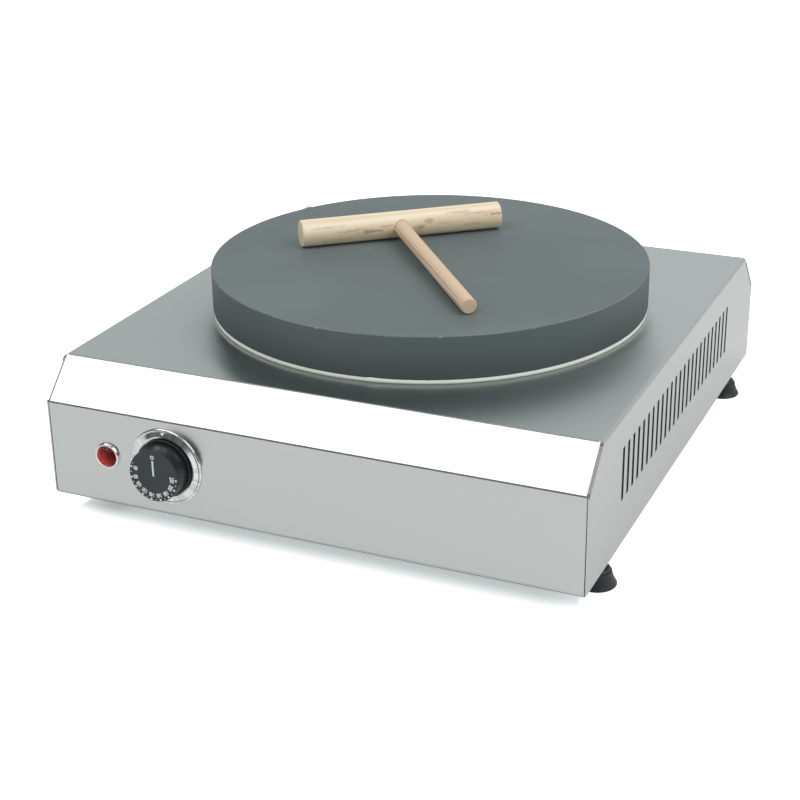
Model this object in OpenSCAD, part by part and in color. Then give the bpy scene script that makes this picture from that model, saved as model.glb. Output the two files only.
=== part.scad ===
// Electric crepe maker: a cast iron griddle plate on a folded stainless steel housing,
// with its heating elements, thermostat, wiring, feet and wooden batter spreader.
// Millimetres. X runs across, Y runs from the front (-Y) to the back, Z is up, and the
// origin is on the table, under the middle of the housing.

/* [Housing] */
// Width of the housing
body_w = 424; // [400:1:480]
// Depth of the housing
body_d = 468; // [450:1:540]
// Height of the folded housing
body_h = 105; // [96:1:130]
// Height of the upright front panel
front_h = 77; // [70:1:84]
// Depth of the sloping panel above the front
front_run = 28; // [16:1:40]
// Depth of the sloping panel at the back
rear_run = 34; // [16:1:44]
// Height of the sloping panel at the back
rear_drop = 36; // [16:1:44]
// Thickness of the stainless steel sheet
sheet_t = 1.2; // [0.8:0.1:2]
// Outer radius of the bend between the top and the sides
top_bend_r = 3; // [2.4:0.1:5]
// Outer radius of the bends along the bottom edges
bottom_bend_r = 4.5; // [3:0.5:8]
// Outer radius of the cross folds above and below the slopes
fold_r = 2.4; // [2.2:0.1:5]
// Width of the open seam where a front or rear panel meets a side
seam_w = 0.6; // [0.3:0.1:1]
// Width of the flange turned in along the bottom
flange_w = 30; // [26:1:44]
// Height of the housing's bottom edge above the table
ground_gap = 28; // [22:1:40]

/* [Vents] */
// Number of vent slots in each side
slot_count = 25; // [9:1:27]
// Distance between neighbouring slots
slot_pitch = 12.4; // [9:0.1:13]
// Width of a slot
slot_w = 5; // [2:0.5:6]
// Height of a slot
slot_h = 41; // [20:1:50]
// Height of the slots' middle above the housing's bottom edge
slot_z = 60; // [50:1:64]
// Distance of the slot row's middle behind the middle of the housing
slot_y = -8.5; // [-15:0.5:15]

/* [Griddle plate] */
// Diameter of the griddle plate
griddle_d = 350; // [338:1:380]
// Height of the plate's rim
griddle_h = 33.5; // [28:0.5:45]
// Thickness of the plate's cooking disc
disc_t = 12; // [8:0.5:14]
// Thickness of the rim wall at its foot
rim_t = 8; // [5:0.5:10]
// Radius of the rounding round the cooking face
edge_r = 1; // [0.5:0.1:3]
// Distance of the plate's middle behind the middle of the housing
griddle_y = 2; // [-6:0.5:8]
// Thickness of the woven gasket under the rim
gasket_t = 3.5; // [2:0.5:6]
// Width of the woven gasket
gasket_w = 12; // [8:0.5:14]

/* [Heating] */
// Diameter of the heating element tube
element_d = 8.5; // [6.5:0.1:10]
// Radius of the inner element's loop
inner_loop_r = 75; // [68:1:84]
// Angle between an element's two cold ends
loop_gap = 24; // [20:1:40]
// Radius of the bend where an element turns down
element_bend_r = 11; // [9:0.5:14]
// Thickness of the plate that presses the elements up
clamp_t = 2; // [1:0.5:4]
// Thickness of the insulating disc
insulation_t = 20; // [12:1:24]
// Depth of the heat shield pan below the housing's top
pan_depth = 30; // [26:1:36]
// Thickness of the heat shield sheet
pan_t = 0.8; // [0.5:0.1:1.5]
// Diameter of the thermostat's sensing bulb
bulb_d = 6; // [4:0.5:8]
// Length of the thermostat's sensing bulb
bulb_l = 70; // [50:1:80]

/* [Control] */
// Distance of the control knob from the housing's left side
knob_side = 100.5; // [90:0.5:120]
// Height of the control knob above the housing's bottom edge
knob_z = 41; // [36:0.5:44]
// Diameter of the knob's skirt
knob_skirt_d = 44.6; // [40:0.2:46]
// Diameter of the knob's grip
knob_grip_d = 40.6; // [36:0.2:41]
// Distance of the knob's face in front of the panel
knob_depth = 18; // [14:0.5:26]
// Diameter of the chrome ring round the knob
bezel_d = 60; // [54:0.5:66]
// Distance between the middles of the knob and the pilot lamp
lamp_pitch = 50; // [44:0.5:70]
// Diameter of the pilot lamp's chrome ring
lamp_ring_d = 20.6; // [20:0.2:24]
// Diameter of the pilot lamp's lens
lamp_lens_d = 16.8; // [14:0.2:17]
// Diameter of the thermostat's spindle
spindle_d = 6; // [5:0.5:7]
// Distance between the thermostat's two fixing screws
thermostat_screw_pitch = 28; // [26:0.5:30]

/* [Feet] */
// Diameter of a foot on the table
foot_d = 30; // [26:0.5:30]
// Distance of the feet from the sides of the housing
foot_side = 15; // [15:0.5:20]
// Distance of the front feet behind the front panel
foot_front = 72; // [40:1:90]
// Distance of the rear feet in front of the rear panel
foot_rear = 24; // [18:1:60]
// Thickness of the base plate
base_t = 1; // [0.8:0.1:2]

/* [Mains inlet] */
// Distance of the cable gland from the housing's right side
gland_side = 92; // [74:1:110]
// Height of the cable gland above the housing's bottom edge
gland_z = 30; // [24:1:44]
// Diameter of the cable that the gland grips
cable_d = 9; // [7:0.5:9.5]
// Distance that the gland stands out behind the housing
gland_reach = 18; // [17:0.5:26]

/* [Spreader] */
// Length of the spreader's bar
bar_l = 170; // [140:1:190]
// Diameter of the spreader's bar
bar_d = 22; // [18:0.5:26]
// Length of the handle outside the bar
handle_l = 181; // [150:1:185]
// Diameter of the handle
handle_d = 12.5; // [8:0.5:14]
// Distance of the handle left of the bar's middle
handle_aside = 2.2; // [0:0.1:4]
// Distance of the bar's middle left of the plate's middle
bar_x = 42.5; // [30:0.5:50]
// Distance of the bar's middle behind the plate's middle
bar_y = 39.5; // [30:0.5:50]
// Turn of the bar from straight across
bar_turn = 39.3; // [30:0.1:50]

/* [Hidden] */
$fn = 96;

// Clearances, named for what they keep apart
fit = 0.05;          // a screw or shaft and its own hole, on the radius
seat = 0.3;          // pieces that lift off or turn past each other
bore_gap = 0.25;     // a screw and a clearance hole, on the radius
heat_gap = 0.1;      // an element and the metal that it presses on
joint_swell = 0.04;  // how far a bend's joint stands out of its tube, on the radius

// Screw sizes: shank and head radii
m3 = 1.5;
m4 = 2;
m5 = 2.5;
m6 = 3;

// Levels above the table
deck_z = ground_gap + body_h;
griddle_z = deck_z + gasket_t;
griddle_top_z = griddle_z + griddle_h;
disc_z = griddle_top_z - disc_t;
clamp_z = disc_z - 2 * heat_gap - element_d - clamp_t;
pan_top_z = deck_z - sheet_t;
pan_z = deck_z - sheet_t - pan_depth;

// Places in plan
front_y = -body_d / 2;
rear_y = body_d / 2;
panel_in_y = front_y + sheet_t;
griddle_r = griddle_d / 2;
rim_in_r = griddle_r - rim_t;
knob_x = body_w / 2 - knob_side;
gland_x = body_w / 2 - gland_side;
anchor_r = griddle_r - gasket_w - 12;       // circle of the studs that hold the plate down
deck_hole_r = anchor_r - 12;                // opening in the housing's top
outer_loop_r = deck_hole_r - 12;            // the outer element stays inside the opening
clamp_r = (outer_loop_r + inner_loop_r) / 2; // circle of the studs that hold the clamp plate
clamp_out_r = outer_loop_r + element_d;
clamp_in_r = inner_loop_r - element_d * 2;
anchor_angles = [45, 135, 225, 315];
clamp_angles = [90, 210, 330];
loop_start = -90;                            // the cold ends face the front

// Sheet metal outlines
function unit(v) = v / norm(v);
function inward(a, b) = [a[1] - b[1], b[0] - a[0]] / norm(b - a);
function inset_outline(pts, gap) = let (n = len(pts)) [
    for (i = [0 : n - 1])
        let (n1 = inward(pts[(i + n - 1) % n], pts[i]), n2 = inward(pts[i], pts[(i + 1) % n]))
        pts[i] + gap * (n1 + n2) / (1 + n1 * n2)
];

// What a rounding of radius r takes off one corner of an outline. The arc crosses each side
// at a slight angle, so that the solids have a clean edge there.
module corner_waste(before, corner, after, r) {
    crossing = 3;
    u = unit(before - corner);
    v = unit(after - corner);
    half = acos(u * v) / 2;
    reach = r * cos(crossing) / tan(half);
    middle = corner + unit(u + v) * r * cos(crossing) / sin(half);
    difference() {
        polygon([corner + u * reach, corner, corner + v * reach, middle]);
        translate(middle) circle(r);
    }
}

module rounded_outline(pts, radii) {
    n = len(pts);
    difference() {
        polygon(pts);
        for (i = [0 : n - 1])
            if (radii[i] > 0)
                corner_waste(pts[(i + n - 1) % n], pts[i], pts[(i + 1) % n], radii[i]);
    }
}

side_corners = [
    [front_y, 0], [rear_y, 0], [rear_y, body_h - rear_drop], [rear_y - rear_run, body_h],
    [front_y + front_run, body_h], [front_y, front_h]
];

// The housing seen from the side, as (Y, Z), gap inside the outer surface
module side_outline(gap) {
    bend = bottom_bend_r - gap;
    fold = fold_r - gap;
    rounded_outline(inset_outline(side_corners, gap), [bend, bend, fold, 0, 0, fold]);
}

// The housing seen from the front, as (X, Z)
module front_outline(gap) {
    half_w = body_w / 2;
    corners = [[-half_w, 0], [half_w, 0], [half_w, body_h], [-half_w, body_h]];
    radii = [for (r = [bottom_bend_r, bottom_bend_r, top_bend_r, top_bend_r]) r - gap];
    rounded_outline(inset_outline(corners, gap), radii);
}

module along_x(length) { rotate([90, 0, 90]) linear_extrude(length, center = true) children(); }
module along_y(length) { rotate([90, 0, 0]) linear_extrude(length, center = true) children(); }

module housing_form(gap) {
    intersection() {
        along_x(body_w) side_outline(gap);
        along_y(body_d) front_outline(gap);
    }
}

// Rounds the two folds of the top panel, between the bends at its sides
module top_folds() {
    along_x(body_w - 2 * top_bend_r - 1)
        for (i = [3, 4]) corner_waste(side_corners[i - 1], side_corners[i], side_corners[i + 1], fold_r);
}

// Open seams where the upright front and rear panels stop beside the sides' edges
module seam_cuts() {
    seam_depth = sheet_t * 2 / 3;
    lowest = bottom_bend_r + seam_w;
    seam_x = body_w / 2 - sheet_t - seam_w / 2;
    for (side = [-1, 1], end = [[front_y, front_h], [rear_y, body_h - rear_drop]])
        translate([side * seam_x, end[0], (lowest + end[1] - fold_r) / 2])
            cube([seam_w, 2 * seam_depth, end[1] - fold_r - lowest], center = true);
}

// Rounds the edges between the slopes and the sides, with a small relief at each end
module slope_bends() {
    relief = 1.2;
    for (side = [-1, 1], edge = [[side_corners[5], side_corners[4], 1], [side_corners[2], side_corners[3], -1]]) {
        run = edge[1] - edge[0];
        bend_end = norm(run) * (1 - top_bend_r / run[1]);
        translate([side * body_w / 2, edge[0][0], edge[0][1]])
            rotate([-atan2(run[0], run[1]), 0, 0])
                translate([0, 0, relief])
                    linear_extrude(bend_end - 2 * relief)
                        corner_waste([-side, 0], [0, 0], [0, edge[2]], fold_r);
    }
}

module slot_outline(length, width) {
    square([width, length - width], center = true);
    for (end = [-1, 1]) translate([0, end * (length - width) / 2]) circle(width / 2);
}

module side_vents() {
    for (side = [-1, 1], i = [0 : slot_count - 1])
        translate([side * (body_w - sheet_t) / 2, slot_y + (i - (slot_count - 1) / 2) * slot_pitch, slot_z])
            cube([3 * sheet_t, slot_w, slot_h], center = true);
}

// Places, as lists of [x, y]
foot_spots = [
    [-body_w / 2 + foot_side, front_y + foot_front], [body_w / 2 - foot_side, front_y + foot_front],
    [-body_w / 2 + foot_side, rear_y - foot_rear], [body_w / 2 - foot_side, rear_y - foot_rear]
];
base_inset = 7;                              // the base plate stays inside the housing's edge
screw_line = flange_w - 8;                   // base screws, in from the housing's edge
base_screw_spots = [
    for (x = [-0.36, 0, 0.36]) each [[x * body_w, front_y + screw_line], [x * body_w, rear_y - screw_line]],
    for (side = [-1, 1]) [side * (body_w / 2 - screw_line), 0]
];
function on_circle(r, angles) = [for (a = angles) [r * cos(a), griddle_y + r * sin(a)]];
anchor_spots = on_circle(anchor_r, anchor_angles);
clamp_spots = on_circle(clamp_r, clamp_angles);
block_spot = [gland_x, rear_y - flange_w - 22];
block_size = [46, 24, 18];
pole_pitch = 14;
earth_spot = [gland_x - 48, rear_y - flange_w - 22];

module at_each(spots) { for (p = spots) translate([p[0], p[1], 0]) children(); }

// A hexagon nut, bored for a screw of radius r
module nut(r, height, across) {
    difference() {
        cylinder(h = height, d = across / cos(30), $fn = 6);
        translate([0, 0, -1]) cylinder(h = height + 2, r = r + fit);
    }
}

// A pan-head screw, head down, shank up
module screw(r, length, head_h) {
    head_edge = 0.5;
    rotate_extrude() polygon([
        [0, -head_h], [r * 1.9 - head_edge, -head_h], [r * 1.9, -head_h + head_edge], [r * 1.9, 0],
        [r, 0], [r, length - head_edge], [r - head_edge, length], [0, length]
    ]);
}

// ---- Housing ----

thermostat_at = [-knob_x, front_y, ground_gap + knob_z];
lamp_at = thermostat_at - [lamp_pitch, 0, 0];
gland_at = [gland_x, rear_y, ground_gap + gland_z];
neck_r = 4.5;                                // the thermostat's threaded neck
lamp_body_r = 6;
gland_thread_r = 7.5;

module facing_front(at) { translate(at) rotate([90, 0, 0]) children(); }
module facing_back(at) { translate(at) rotate([-90, 0, 0]) children(); }

module body_shell() {
    color([0.77, 0.79, 0.78])
    difference() {
        translate([0, 0, ground_gap])
        difference() {
            housing_form(0);
            housing_form(sheet_t);
            cube([body_w - 2 * flange_w, body_d - 2 * flange_w, 3 * sheet_t], center = true);
            top_folds();
            side_vents();
            seam_cuts();
            slope_bends();
        }
        translate([0, griddle_y, deck_z - 2 * sheet_t]) cylinder(h = 3 * sheet_t, r = deck_hole_r);
        translate([0, 0, deck_z - 2 * sheet_t])
            at_each(anchor_spots) cylinder(h = 3 * sheet_t, r = m6 + bore_gap);
        translate([0, 0, ground_gap - sheet_t]) {
            at_each(foot_spots) cylinder(h = 3 * sheet_t, r = m5 + bore_gap);
            at_each(base_screw_spots) cylinder(h = 3 * sheet_t, r = m4 + fit);
        }
        facing_front(thermostat_at) {
            cylinder(h = 4 * sheet_t, r = neck_r + bore_gap, center = true);
            for (s = [-1, 1]) translate([0, s * thermostat_screw_pitch / 2, 0])
                cylinder(h = 4 * sheet_t, r = m4 + bore_gap, center = true);
        }
        facing_front(lamp_at) cylinder(h = 4 * sheet_t, r = lamp_body_r + bore_gap, center = true);
        facing_back(gland_at) cylinder(h = 4 * sheet_t, r = gland_thread_r + bore_gap, center = true);
    }
}

module base_plate() {
    vent_rows = [-1, 1];
    vents_in_row = 9;
    vent_pitch = 26;
    vent_size = [6, 60];
    vent_y = 62;
    plate_size = [body_w - 2 * base_inset, body_d - 2 * base_inset];
    color([0.70, 0.71, 0.72])
    translate([0, 0, ground_gap - base_t])
    difference() {
        linear_extrude(base_t)
            difference() {
                square(plate_size, center = true);
                for (row = vent_rows, i = [0 : vents_in_row - 1])
                    translate([(i - (vents_in_row - 1) / 2) * vent_pitch, row * vent_y])
                        slot_outline(vent_size[1], vent_size[0]);
            }
        translate([0, 0, -base_t]) {
            at_each(foot_spots) cylinder(h = 3 * base_t, r = m5 + bore_gap);
            at_each(base_screw_spots) cylinder(h = 3 * base_t, r = m4 + bore_gap);
            at_each([for (s = [-1, 1]) block_spot + [s * pole_pitch / 2, 0]])
                cylinder(h = 3 * base_t, r = m3 + bore_gap);
        }
    }
}

module base_screws() {
    color([0.75, 0.75, 0.76])
    translate([0, 0, ground_gap - base_t]) at_each(base_screw_spots) screw(m4, 7, 2.4);
}

// ---- Feet ----

foot_h = ground_gap - base_t;
foot_recess_r = 6;
foot_recess_h = 8;

// A rubber foot: a flared bell with a domed shoulder and a neck up to the base plate
module foot() {
    base_r = foot_d / 2;
    lip_h = 1.2;
    shoulder_r = base_r - 4;
    shoulder_z = 11.5;
    neck_out_r = base_r / 2;
    flare_r = 26;                            // radius of the hollow flare
    ledge_w = 0.6;                           // the dome stands in a little from the flare
    dome_r = shoulder_r - neck_out_r - ledge_w;
    // the flare's arc runs from the lip to the shoulder
    low = [base_r, lip_h];
    high = [shoulder_r, shoulder_z];
    chord = norm(high - low);
    middle = (low + high) / 2 + unit([high[1] - low[1], low[0] - high[0]])
        * sqrt(flare_r * flare_r - chord * chord / 4);
    color([0.16, 0.17, 0.17])
    rotate_extrude()
    difference() {
        union() {
            polygon([[0, 0], [base_r - lip_h, 0], [base_r, lip_h], [shoulder_r, shoulder_z], [0, shoulder_z]]);
            translate([base_r - lip_h, lip_h]) circle(lip_h);
            translate([neck_out_r, shoulder_z]) circle(dome_r);
            square([neck_out_r, foot_h]);
        }
        translate(middle) circle(flare_r);
        square([foot_recess_r, foot_recess_h]);
        square([m5 + bore_gap, foot_h + 1]);
    }
}

module foot_at(i) { translate([foot_spots[i][0], foot_spots[i][1], 0]) foot(); }
module foot_front_left() { foot_at(0); }
module foot_front_right() { foot_at(1); }
module foot_rear_left() { foot_at(2); }
module foot_rear_right() { foot_at(3); }

module foot_screws() {
    grip = foot_h - foot_recess_h + base_t + sheet_t;
    past_nut = 2;
    color([0.75, 0.75, 0.76])
    translate([0, 0, foot_recess_h]) at_each(foot_spots) screw(m5, grip + 4 + past_nut, 3);
}

module foot_nuts() {
    color([0.75, 0.75, 0.76])
    translate([0, 0, ground_gap + sheet_t]) at_each(foot_spots) nut(m5, 4, 8);
}

// ---- Griddle ----

clamp_boss_h = element_d + 2 * heat_gap;
sensor_boss_h = bulb_d + 2 * heat_gap;
sensor_y = griddle_y - 14;

module ring(r_out, r_in, height) {
    linear_extrude(height) difference() { circle(r_out); circle(r_in); }
}

// The iron casting: cooking disc, drafted rim, ribs beside the elements, and bosses
module griddle_plate() {
    rib_h = element_d * 0.65;
    rib_t = 4;
    rib_gap = element_d / 2 + 0.6;
    draft = 2;
    anchor_boss_r = 9;
    clamp_boss_r = 7;
    thread_depth = 6;
    rim = [
        [0, disc_z], [rim_in_r - draft, disc_z], [rim_in_r, griddle_z], [griddle_r, griddle_z],
        [griddle_r, griddle_top_z], [0, griddle_top_z]
    ];
    color([0.42, 0.46, 0.46])
    difference() {
        union() {
            translate([0, griddle_y, 0])
                rotate_extrude() rounded_outline(rim, [0, edge_r * 2, 0, edge_r / 2, edge_r, 0]);
            translate([0, griddle_y, disc_z - rib_h])
                for (loop_r = [inner_loop_r, outer_loop_r], s = [-1, 1])
                    let (rib_r = loop_r + s * (rib_gap + rib_t / 2))
                    ring(rib_r + rib_t / 2, rib_r - rib_t / 2, rib_h + 1);
            translate([0, 0, griddle_z])
                at_each(anchor_spots) cylinder(h = disc_z - griddle_z + 1, r = anchor_boss_r);
            translate([0, 0, disc_z - clamp_boss_h])
                at_each(clamp_spots) cylinder(h = clamp_boss_h + 1, r = clamp_boss_r);
            translate([0, griddle_y, disc_z - sensor_boss_h]) cylinder(h = sensor_boss_h + 1, r = clamp_boss_r);
        }
        translate([0, 0, griddle_z - 1])
            at_each(anchor_spots) cylinder(h = disc_z - griddle_z + 1, r = m6 + fit);
        translate([0, 0, disc_z - clamp_boss_h - 1])
            at_each(clamp_spots) cylinder(h = clamp_boss_h + thread_depth + 1, r = m5 + fit);
        translate([0, griddle_y, disc_z - sensor_boss_h - 1])
            cylinder(h = sensor_boss_h + thread_depth + 1, r = m4 + fit);
    }
}

module rim_gasket() {
    color([0.86, 0.87, 0.80])
    translate([0, griddle_y, deck_z]) ring(griddle_r, griddle_r - gasket_w, gasket_t);
}

anchor_nut_h = 5;
anchor_washer_t = 1.4;

module anchor_studs() {
    low = pan_top_z - pan_t - anchor_washer_t - anchor_nut_h - 3;
    color([0.72, 0.72, 0.74])
    translate([0, 0, low]) at_each(anchor_spots) cylinder(h = disc_z - 2 - low, r = m6);
}

module anchor_spacers() {
    color([0.72, 0.72, 0.74])
    translate([0, 0, deck_z]) at_each(anchor_spots) ring(8, m6 + fit, gasket_t);
}

module anchor_washers() {
    color([0.72, 0.72, 0.74])
    translate([0, 0, pan_top_z - pan_t - anchor_washer_t])
        at_each(anchor_spots) ring(7, m6 + fit, anchor_washer_t);
}

module anchor_nuts() {
    color([0.72, 0.72, 0.74])
    translate([0, 0, pan_top_z - pan_t - anchor_washer_t - anchor_nut_h])
        at_each(anchor_spots) nut(m6, anchor_nut_h, 10);
}

// ---- Heating ----

element_z = disc_z - heat_gap - element_d / 2;
leg_end_z = pan_z - 14;
bead_h = 5;

// Puts its children at the two ends of a loop, with +Y leading on past the end
module loop_ends(loop_r) {
    half_gap = loop_gap / 2;
    translate([0, griddle_y, 0]) {
        rotate([0, 0, loop_start - half_gap]) translate([loop_r, 0, 0]) children();
        rotate([0, 0, loop_start + half_gap]) mirror([0, 1, 0]) translate([loop_r, 0, 0]) children();
    }
}

// One tubular element: an open loop whose ends bend down into two cold legs
module heating_element(loop_r) {
    tube_r = element_d / 2;
    color([0.35, 0.34, 0.33]) {
        translate([0, griddle_y, element_z])
            rotate([0, 0, loop_start + loop_gap / 2])
                rotate_extrude(angle = 360 - loop_gap) translate([loop_r, 0]) circle(tube_r);
        loop_ends(loop_r) {
            translate([0, 0, element_z - element_bend_r])
                rotate([0, -90, 0]) rotate_extrude(angle = 90)
                    translate([element_bend_r, 0]) circle(tube_r);
            translate([0, element_bend_r, leg_end_z])
                cylinder(h = element_z - element_bend_r - leg_end_z, r = tube_r);
            translate([0, 0, element_z]) sphere(tube_r + joint_swell);
        }
    }
}

module outer_element() { heating_element(outer_loop_r); }
module inner_element() { heating_element(inner_loop_r); }

// Ceramic beads and threaded pins at the cold ends
module element_terminals() {
    pin_l = 12;
    color([0.90, 0.88, 0.82])
    for (loop_r = [inner_loop_r, outer_loop_r])
        loop_ends(loop_r) translate([0, element_bend_r, leg_end_z - bead_h]) {
            cylinder(h = bead_h, r = element_d / 2 + 0.5);
            translate([0, 0, -pin_l]) cylinder(h = pin_l + 1, r = m4);
        }
}

// Clearance holes that let the four cold legs pass down
module leg_holes(height) {
    for (loop_r = [inner_loop_r, outer_loop_r])
        loop_ends(loop_r) translate([0, element_bend_r, 0])
            cylinder(h = height, r = element_d / 2 + 1.5, center = true);
}

module clamp_plate() {
    color([0.66, 0.67, 0.68])
    difference() {
        translate([0, griddle_y, clamp_z]) ring(clamp_out_r, clamp_in_r, clamp_t);
        translate([0, 0, clamp_z]) {
            leg_holes(4 * clamp_t);
            translate([0, 0, -clamp_t]) at_each(clamp_spots) cylinder(h = 3 * clamp_t, r = m5 + bore_gap);
        }
        // the outer legs bend down within this wider notch
        for (loop_r = [inner_loop_r, outer_loop_r])
            loop_ends(loop_r) translate([-element_d / 2 - 1.5, 0, clamp_z - clamp_t])
                cube([element_d + 3, element_bend_r, 3 * clamp_t]);
    }
}

clamp_nut_h = 4;

module clamp_studs() {
    low = clamp_z - clamp_nut_h - 3;
    color([0.72, 0.72, 0.74])
    translate([0, 0, low]) at_each(clamp_spots) cylinder(h = disc_z + 5 - low, r = m5);
}

module clamp_nuts() {
    color([0.72, 0.72, 0.74])
    translate([0, 0, clamp_z - clamp_nut_h]) at_each(clamp_spots) nut(m5, clamp_nut_h, 8);
}

pan_wall_r = deck_hole_r - 3;
pan_bend_r = 4;

// Where the sensor's thin tube passes down beside the elements
tube_r = 1;
tube_drop = [-bulb_l / 2 - 15, sensor_y];

module insulation_disc() {
    disc_r = pan_wall_r - pan_t - 1;
    section = [[0, 0], [disc_r, 0], [disc_r, insulation_t], [0, insulation_t]];
    color([0.93, 0.92, 0.88])
    difference() {
        translate([0, griddle_y, pan_z + pan_t]) rotate_extrude() rounded_outline(section, [0, pan_bend_r, 0, 0]);
        translate([0, 0, pan_z]) leg_holes(3 * insulation_t);
        translate([tube_drop[0], tube_drop[1], pan_z]) cylinder(h = 2 * insulation_t, r = 4);
    }
}

// A shallow spun pan that hangs from the housing's top by its flange
module heat_shield_pan() {
    flange_r = anchor_r + 8;
    outside = [
        [0, pan_z], [pan_wall_r, pan_z], [pan_wall_r, pan_top_z - pan_t], [flange_r, pan_top_z - pan_t],
        [flange_r, pan_top_z], [0, pan_top_z]
    ];
    color([0.78, 0.79, 0.80])
    difference() {
        translate([0, griddle_y, 0])
            rotate_extrude()
                difference() {
                    rounded_outline(outside, [0, pan_bend_r, 0, 0, 0, 0]);
                    rounded_outline(
                        [[0, pan_z + pan_t], [pan_wall_r - pan_t, pan_z + pan_t],
                            [pan_wall_r - pan_t, pan_top_z + 1], [0, pan_top_z + 1]],
                        [0, pan_bend_r - pan_t, 0, 0]);
                }
        translate([0, 0, pan_z]) leg_holes(6 * pan_t);
        translate([tube_drop[0], tube_drop[1], pan_z - 1]) cylinder(h = pan_t + 2, r = 3);
        translate([0, 0, pan_top_z - 2 * pan_t])
            at_each(anchor_spots) cylinder(h = 3 * pan_t, r = m6 + bore_gap);
    }
}

cutout_at = [0, griddle_y + clamp_r / 2, pan_z];
cutout_tab = [6.3, 0.8, 9];
cutout_tab_y = 4;
cutout_h = 10;

// A bimetal cut-out, flanged against the underside of the heat shield
module safety_cutout() {
    can_r = 8;
    flange_t = 1;
    color([0.25, 0.22, 0.20])
    translate(cutout_at) {
        translate([0, 0, -flange_t]) cylinder(h = flange_t, r = can_r + 4);
        translate([0, 0, -cutout_h]) cylinder(h = cutout_h, r = can_r);
        for (s = [-1, 1])
            translate([-cutout_tab[0] / 2, s * cutout_tab_y - cutout_tab[1] / 2, -cutout_h - cutout_tab[2]])
                cube(cutout_tab);
    }
}

// ---- Thermostat ----

body_depth = 30;
body_back_y = panel_in_y + body_depth;
body_size = [42, 50];
tab_size = [6.3, 9, 0.8];
tab_rows = [-1, 1];
tab_z = 12;

// The bulb, its thin tube, and the tube's run down and forward to the thermostat
module sensor_bulb() {
    bulb_r = bulb_d / 2;
    bulb_z = disc_z - heat_gap - bulb_r;
    taper = 3;
    tube_x = -knob_x - body_size[0] / 3;         // beside the thermostat's terminals
    low_z = thermostat_at[2] + tab_z + 8;
    end_z = thermostat_at[2] + tab_z + 2;
    color([0.72, 0.52, 0.38]) {
        translate([-bulb_l / 2, sensor_y, bulb_z]) rotate([0, 90, 0]) rotate_extrude() polygon([
            [0, -taper], [tube_r, -taper], [bulb_r, 0], [bulb_r, bulb_l - taper], [tube_r, bulb_l], [0, bulb_l]
        ]);
        lead([
            [-bulb_l / 2 - taper + 0.5, sensor_y, bulb_z],
            [tube_drop[0] + 4, sensor_y, bulb_z],
            [tube_drop[0], sensor_y, bulb_z - 8],
            [tube_drop[0], sensor_y, low_z],
            [-knob_x, front_y / 2, end_z],
            [tube_x, body_back_y + 14, end_z],
            [tube_x, body_back_y, end_z]
        ], tube_r);
    }
}

module sensor_clip() {
    clip_t = 1.5;
    clip = [14, 32, clip_t];
    color([0.70, 0.71, 0.72])
    difference() {
        translate([-clip[0] / 2, griddle_y + 8 - clip[1], disc_z - sensor_boss_h - clip_t]) cube(clip);
        translate([0, griddle_y, disc_z - sensor_boss_h - 2 * clip_t]) cylinder(h = 3 * clip_t, r = m4 + bore_gap);
    }
}

module sensor_clip_screw() {
    color([0.75, 0.75, 0.76])
    translate([0, griddle_y, disc_z - sensor_boss_h - 1.5]) screw(m4, 1.5 + sensor_boss_h + 4, 2.5);
}

// The switch: a steel mounting face, a moulded block, and a neck round the spindle
module thermostat_body() {
    face_t = 2;
    neck_l = sheet_t + 1;
    socket_l = 9;
    color([0.20, 0.20, 0.21])
    facing_front(thermostat_at)
    difference() {
        union() {
            translate([-body_size[0] / 2, -body_size[1] / 2, -sheet_t - face_t])
                cube([body_size[0], body_size[1], face_t]);
            translate([-body_size[0] / 2 + 2, -body_size[1] / 2 + 2, -sheet_t - body_depth])
                cube([body_size[0] - 4, body_size[1] - 4, body_depth - face_t]);
            translate([0, 0, -sheet_t]) cylinder(h = neck_l, r = neck_r);
        }
        translate([0, 0, -sheet_t - face_t - socket_l]) cylinder(h = 40, r = spindle_d / 2 + fit);
        for (s = [-1, 1]) translate([0, s * thermostat_screw_pitch / 2, -sheet_t - face_t - 7])
            cylinder(h = 20, r = m4 + fit);
    }
}

module thermostat_terminals() {
    color([0.80, 0.66, 0.36])
    for (s = tab_rows)
        translate([-knob_x - tab_size[0] / 2, body_back_y, thermostat_at[2] + s * tab_z - tab_size[2] / 2])
            cube(tab_size);
}

module thermostat_screws() {
    color([0.75, 0.75, 0.76])
    facing_front(thermostat_at)
        for (s = [-1, 1]) translate([0, s * thermostat_screw_pitch / 2, 0])
            mirror([0, 0, 1]) screw(m4, 7, 1.6);
}

knob_wall = 2.2;
knob_hub_r = 6.5;
knob_back = 0.8;                             // gap between the knob's skirt and the panel

// The spindle, with a flat that the knob's hub grips
module spindle_form(grow, from, to) {
    r = spindle_d / 2 + grow;
    flat = spindle_d * 0.25 + grow;
    intersection() {
        translate([0, 0, from]) cylinder(h = to - from, r = r);
        translate([-r, -r, from]) cube([2 * r, r + flat, to - from]);
    }
}

module thermostat_spindle() {
    neck_end = 1;
    inner_end = -sheet_t - 10;
    color([0.74, 0.75, 0.76])
    facing_front(thermostat_at) {
        translate([0, 0, inner_end]) cylinder(h = neck_end + 0.5 - inner_end, r = spindle_d / 2);
        spindle_form(0, neck_end, knob_depth - knob_wall - seat);
    }
}

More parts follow.
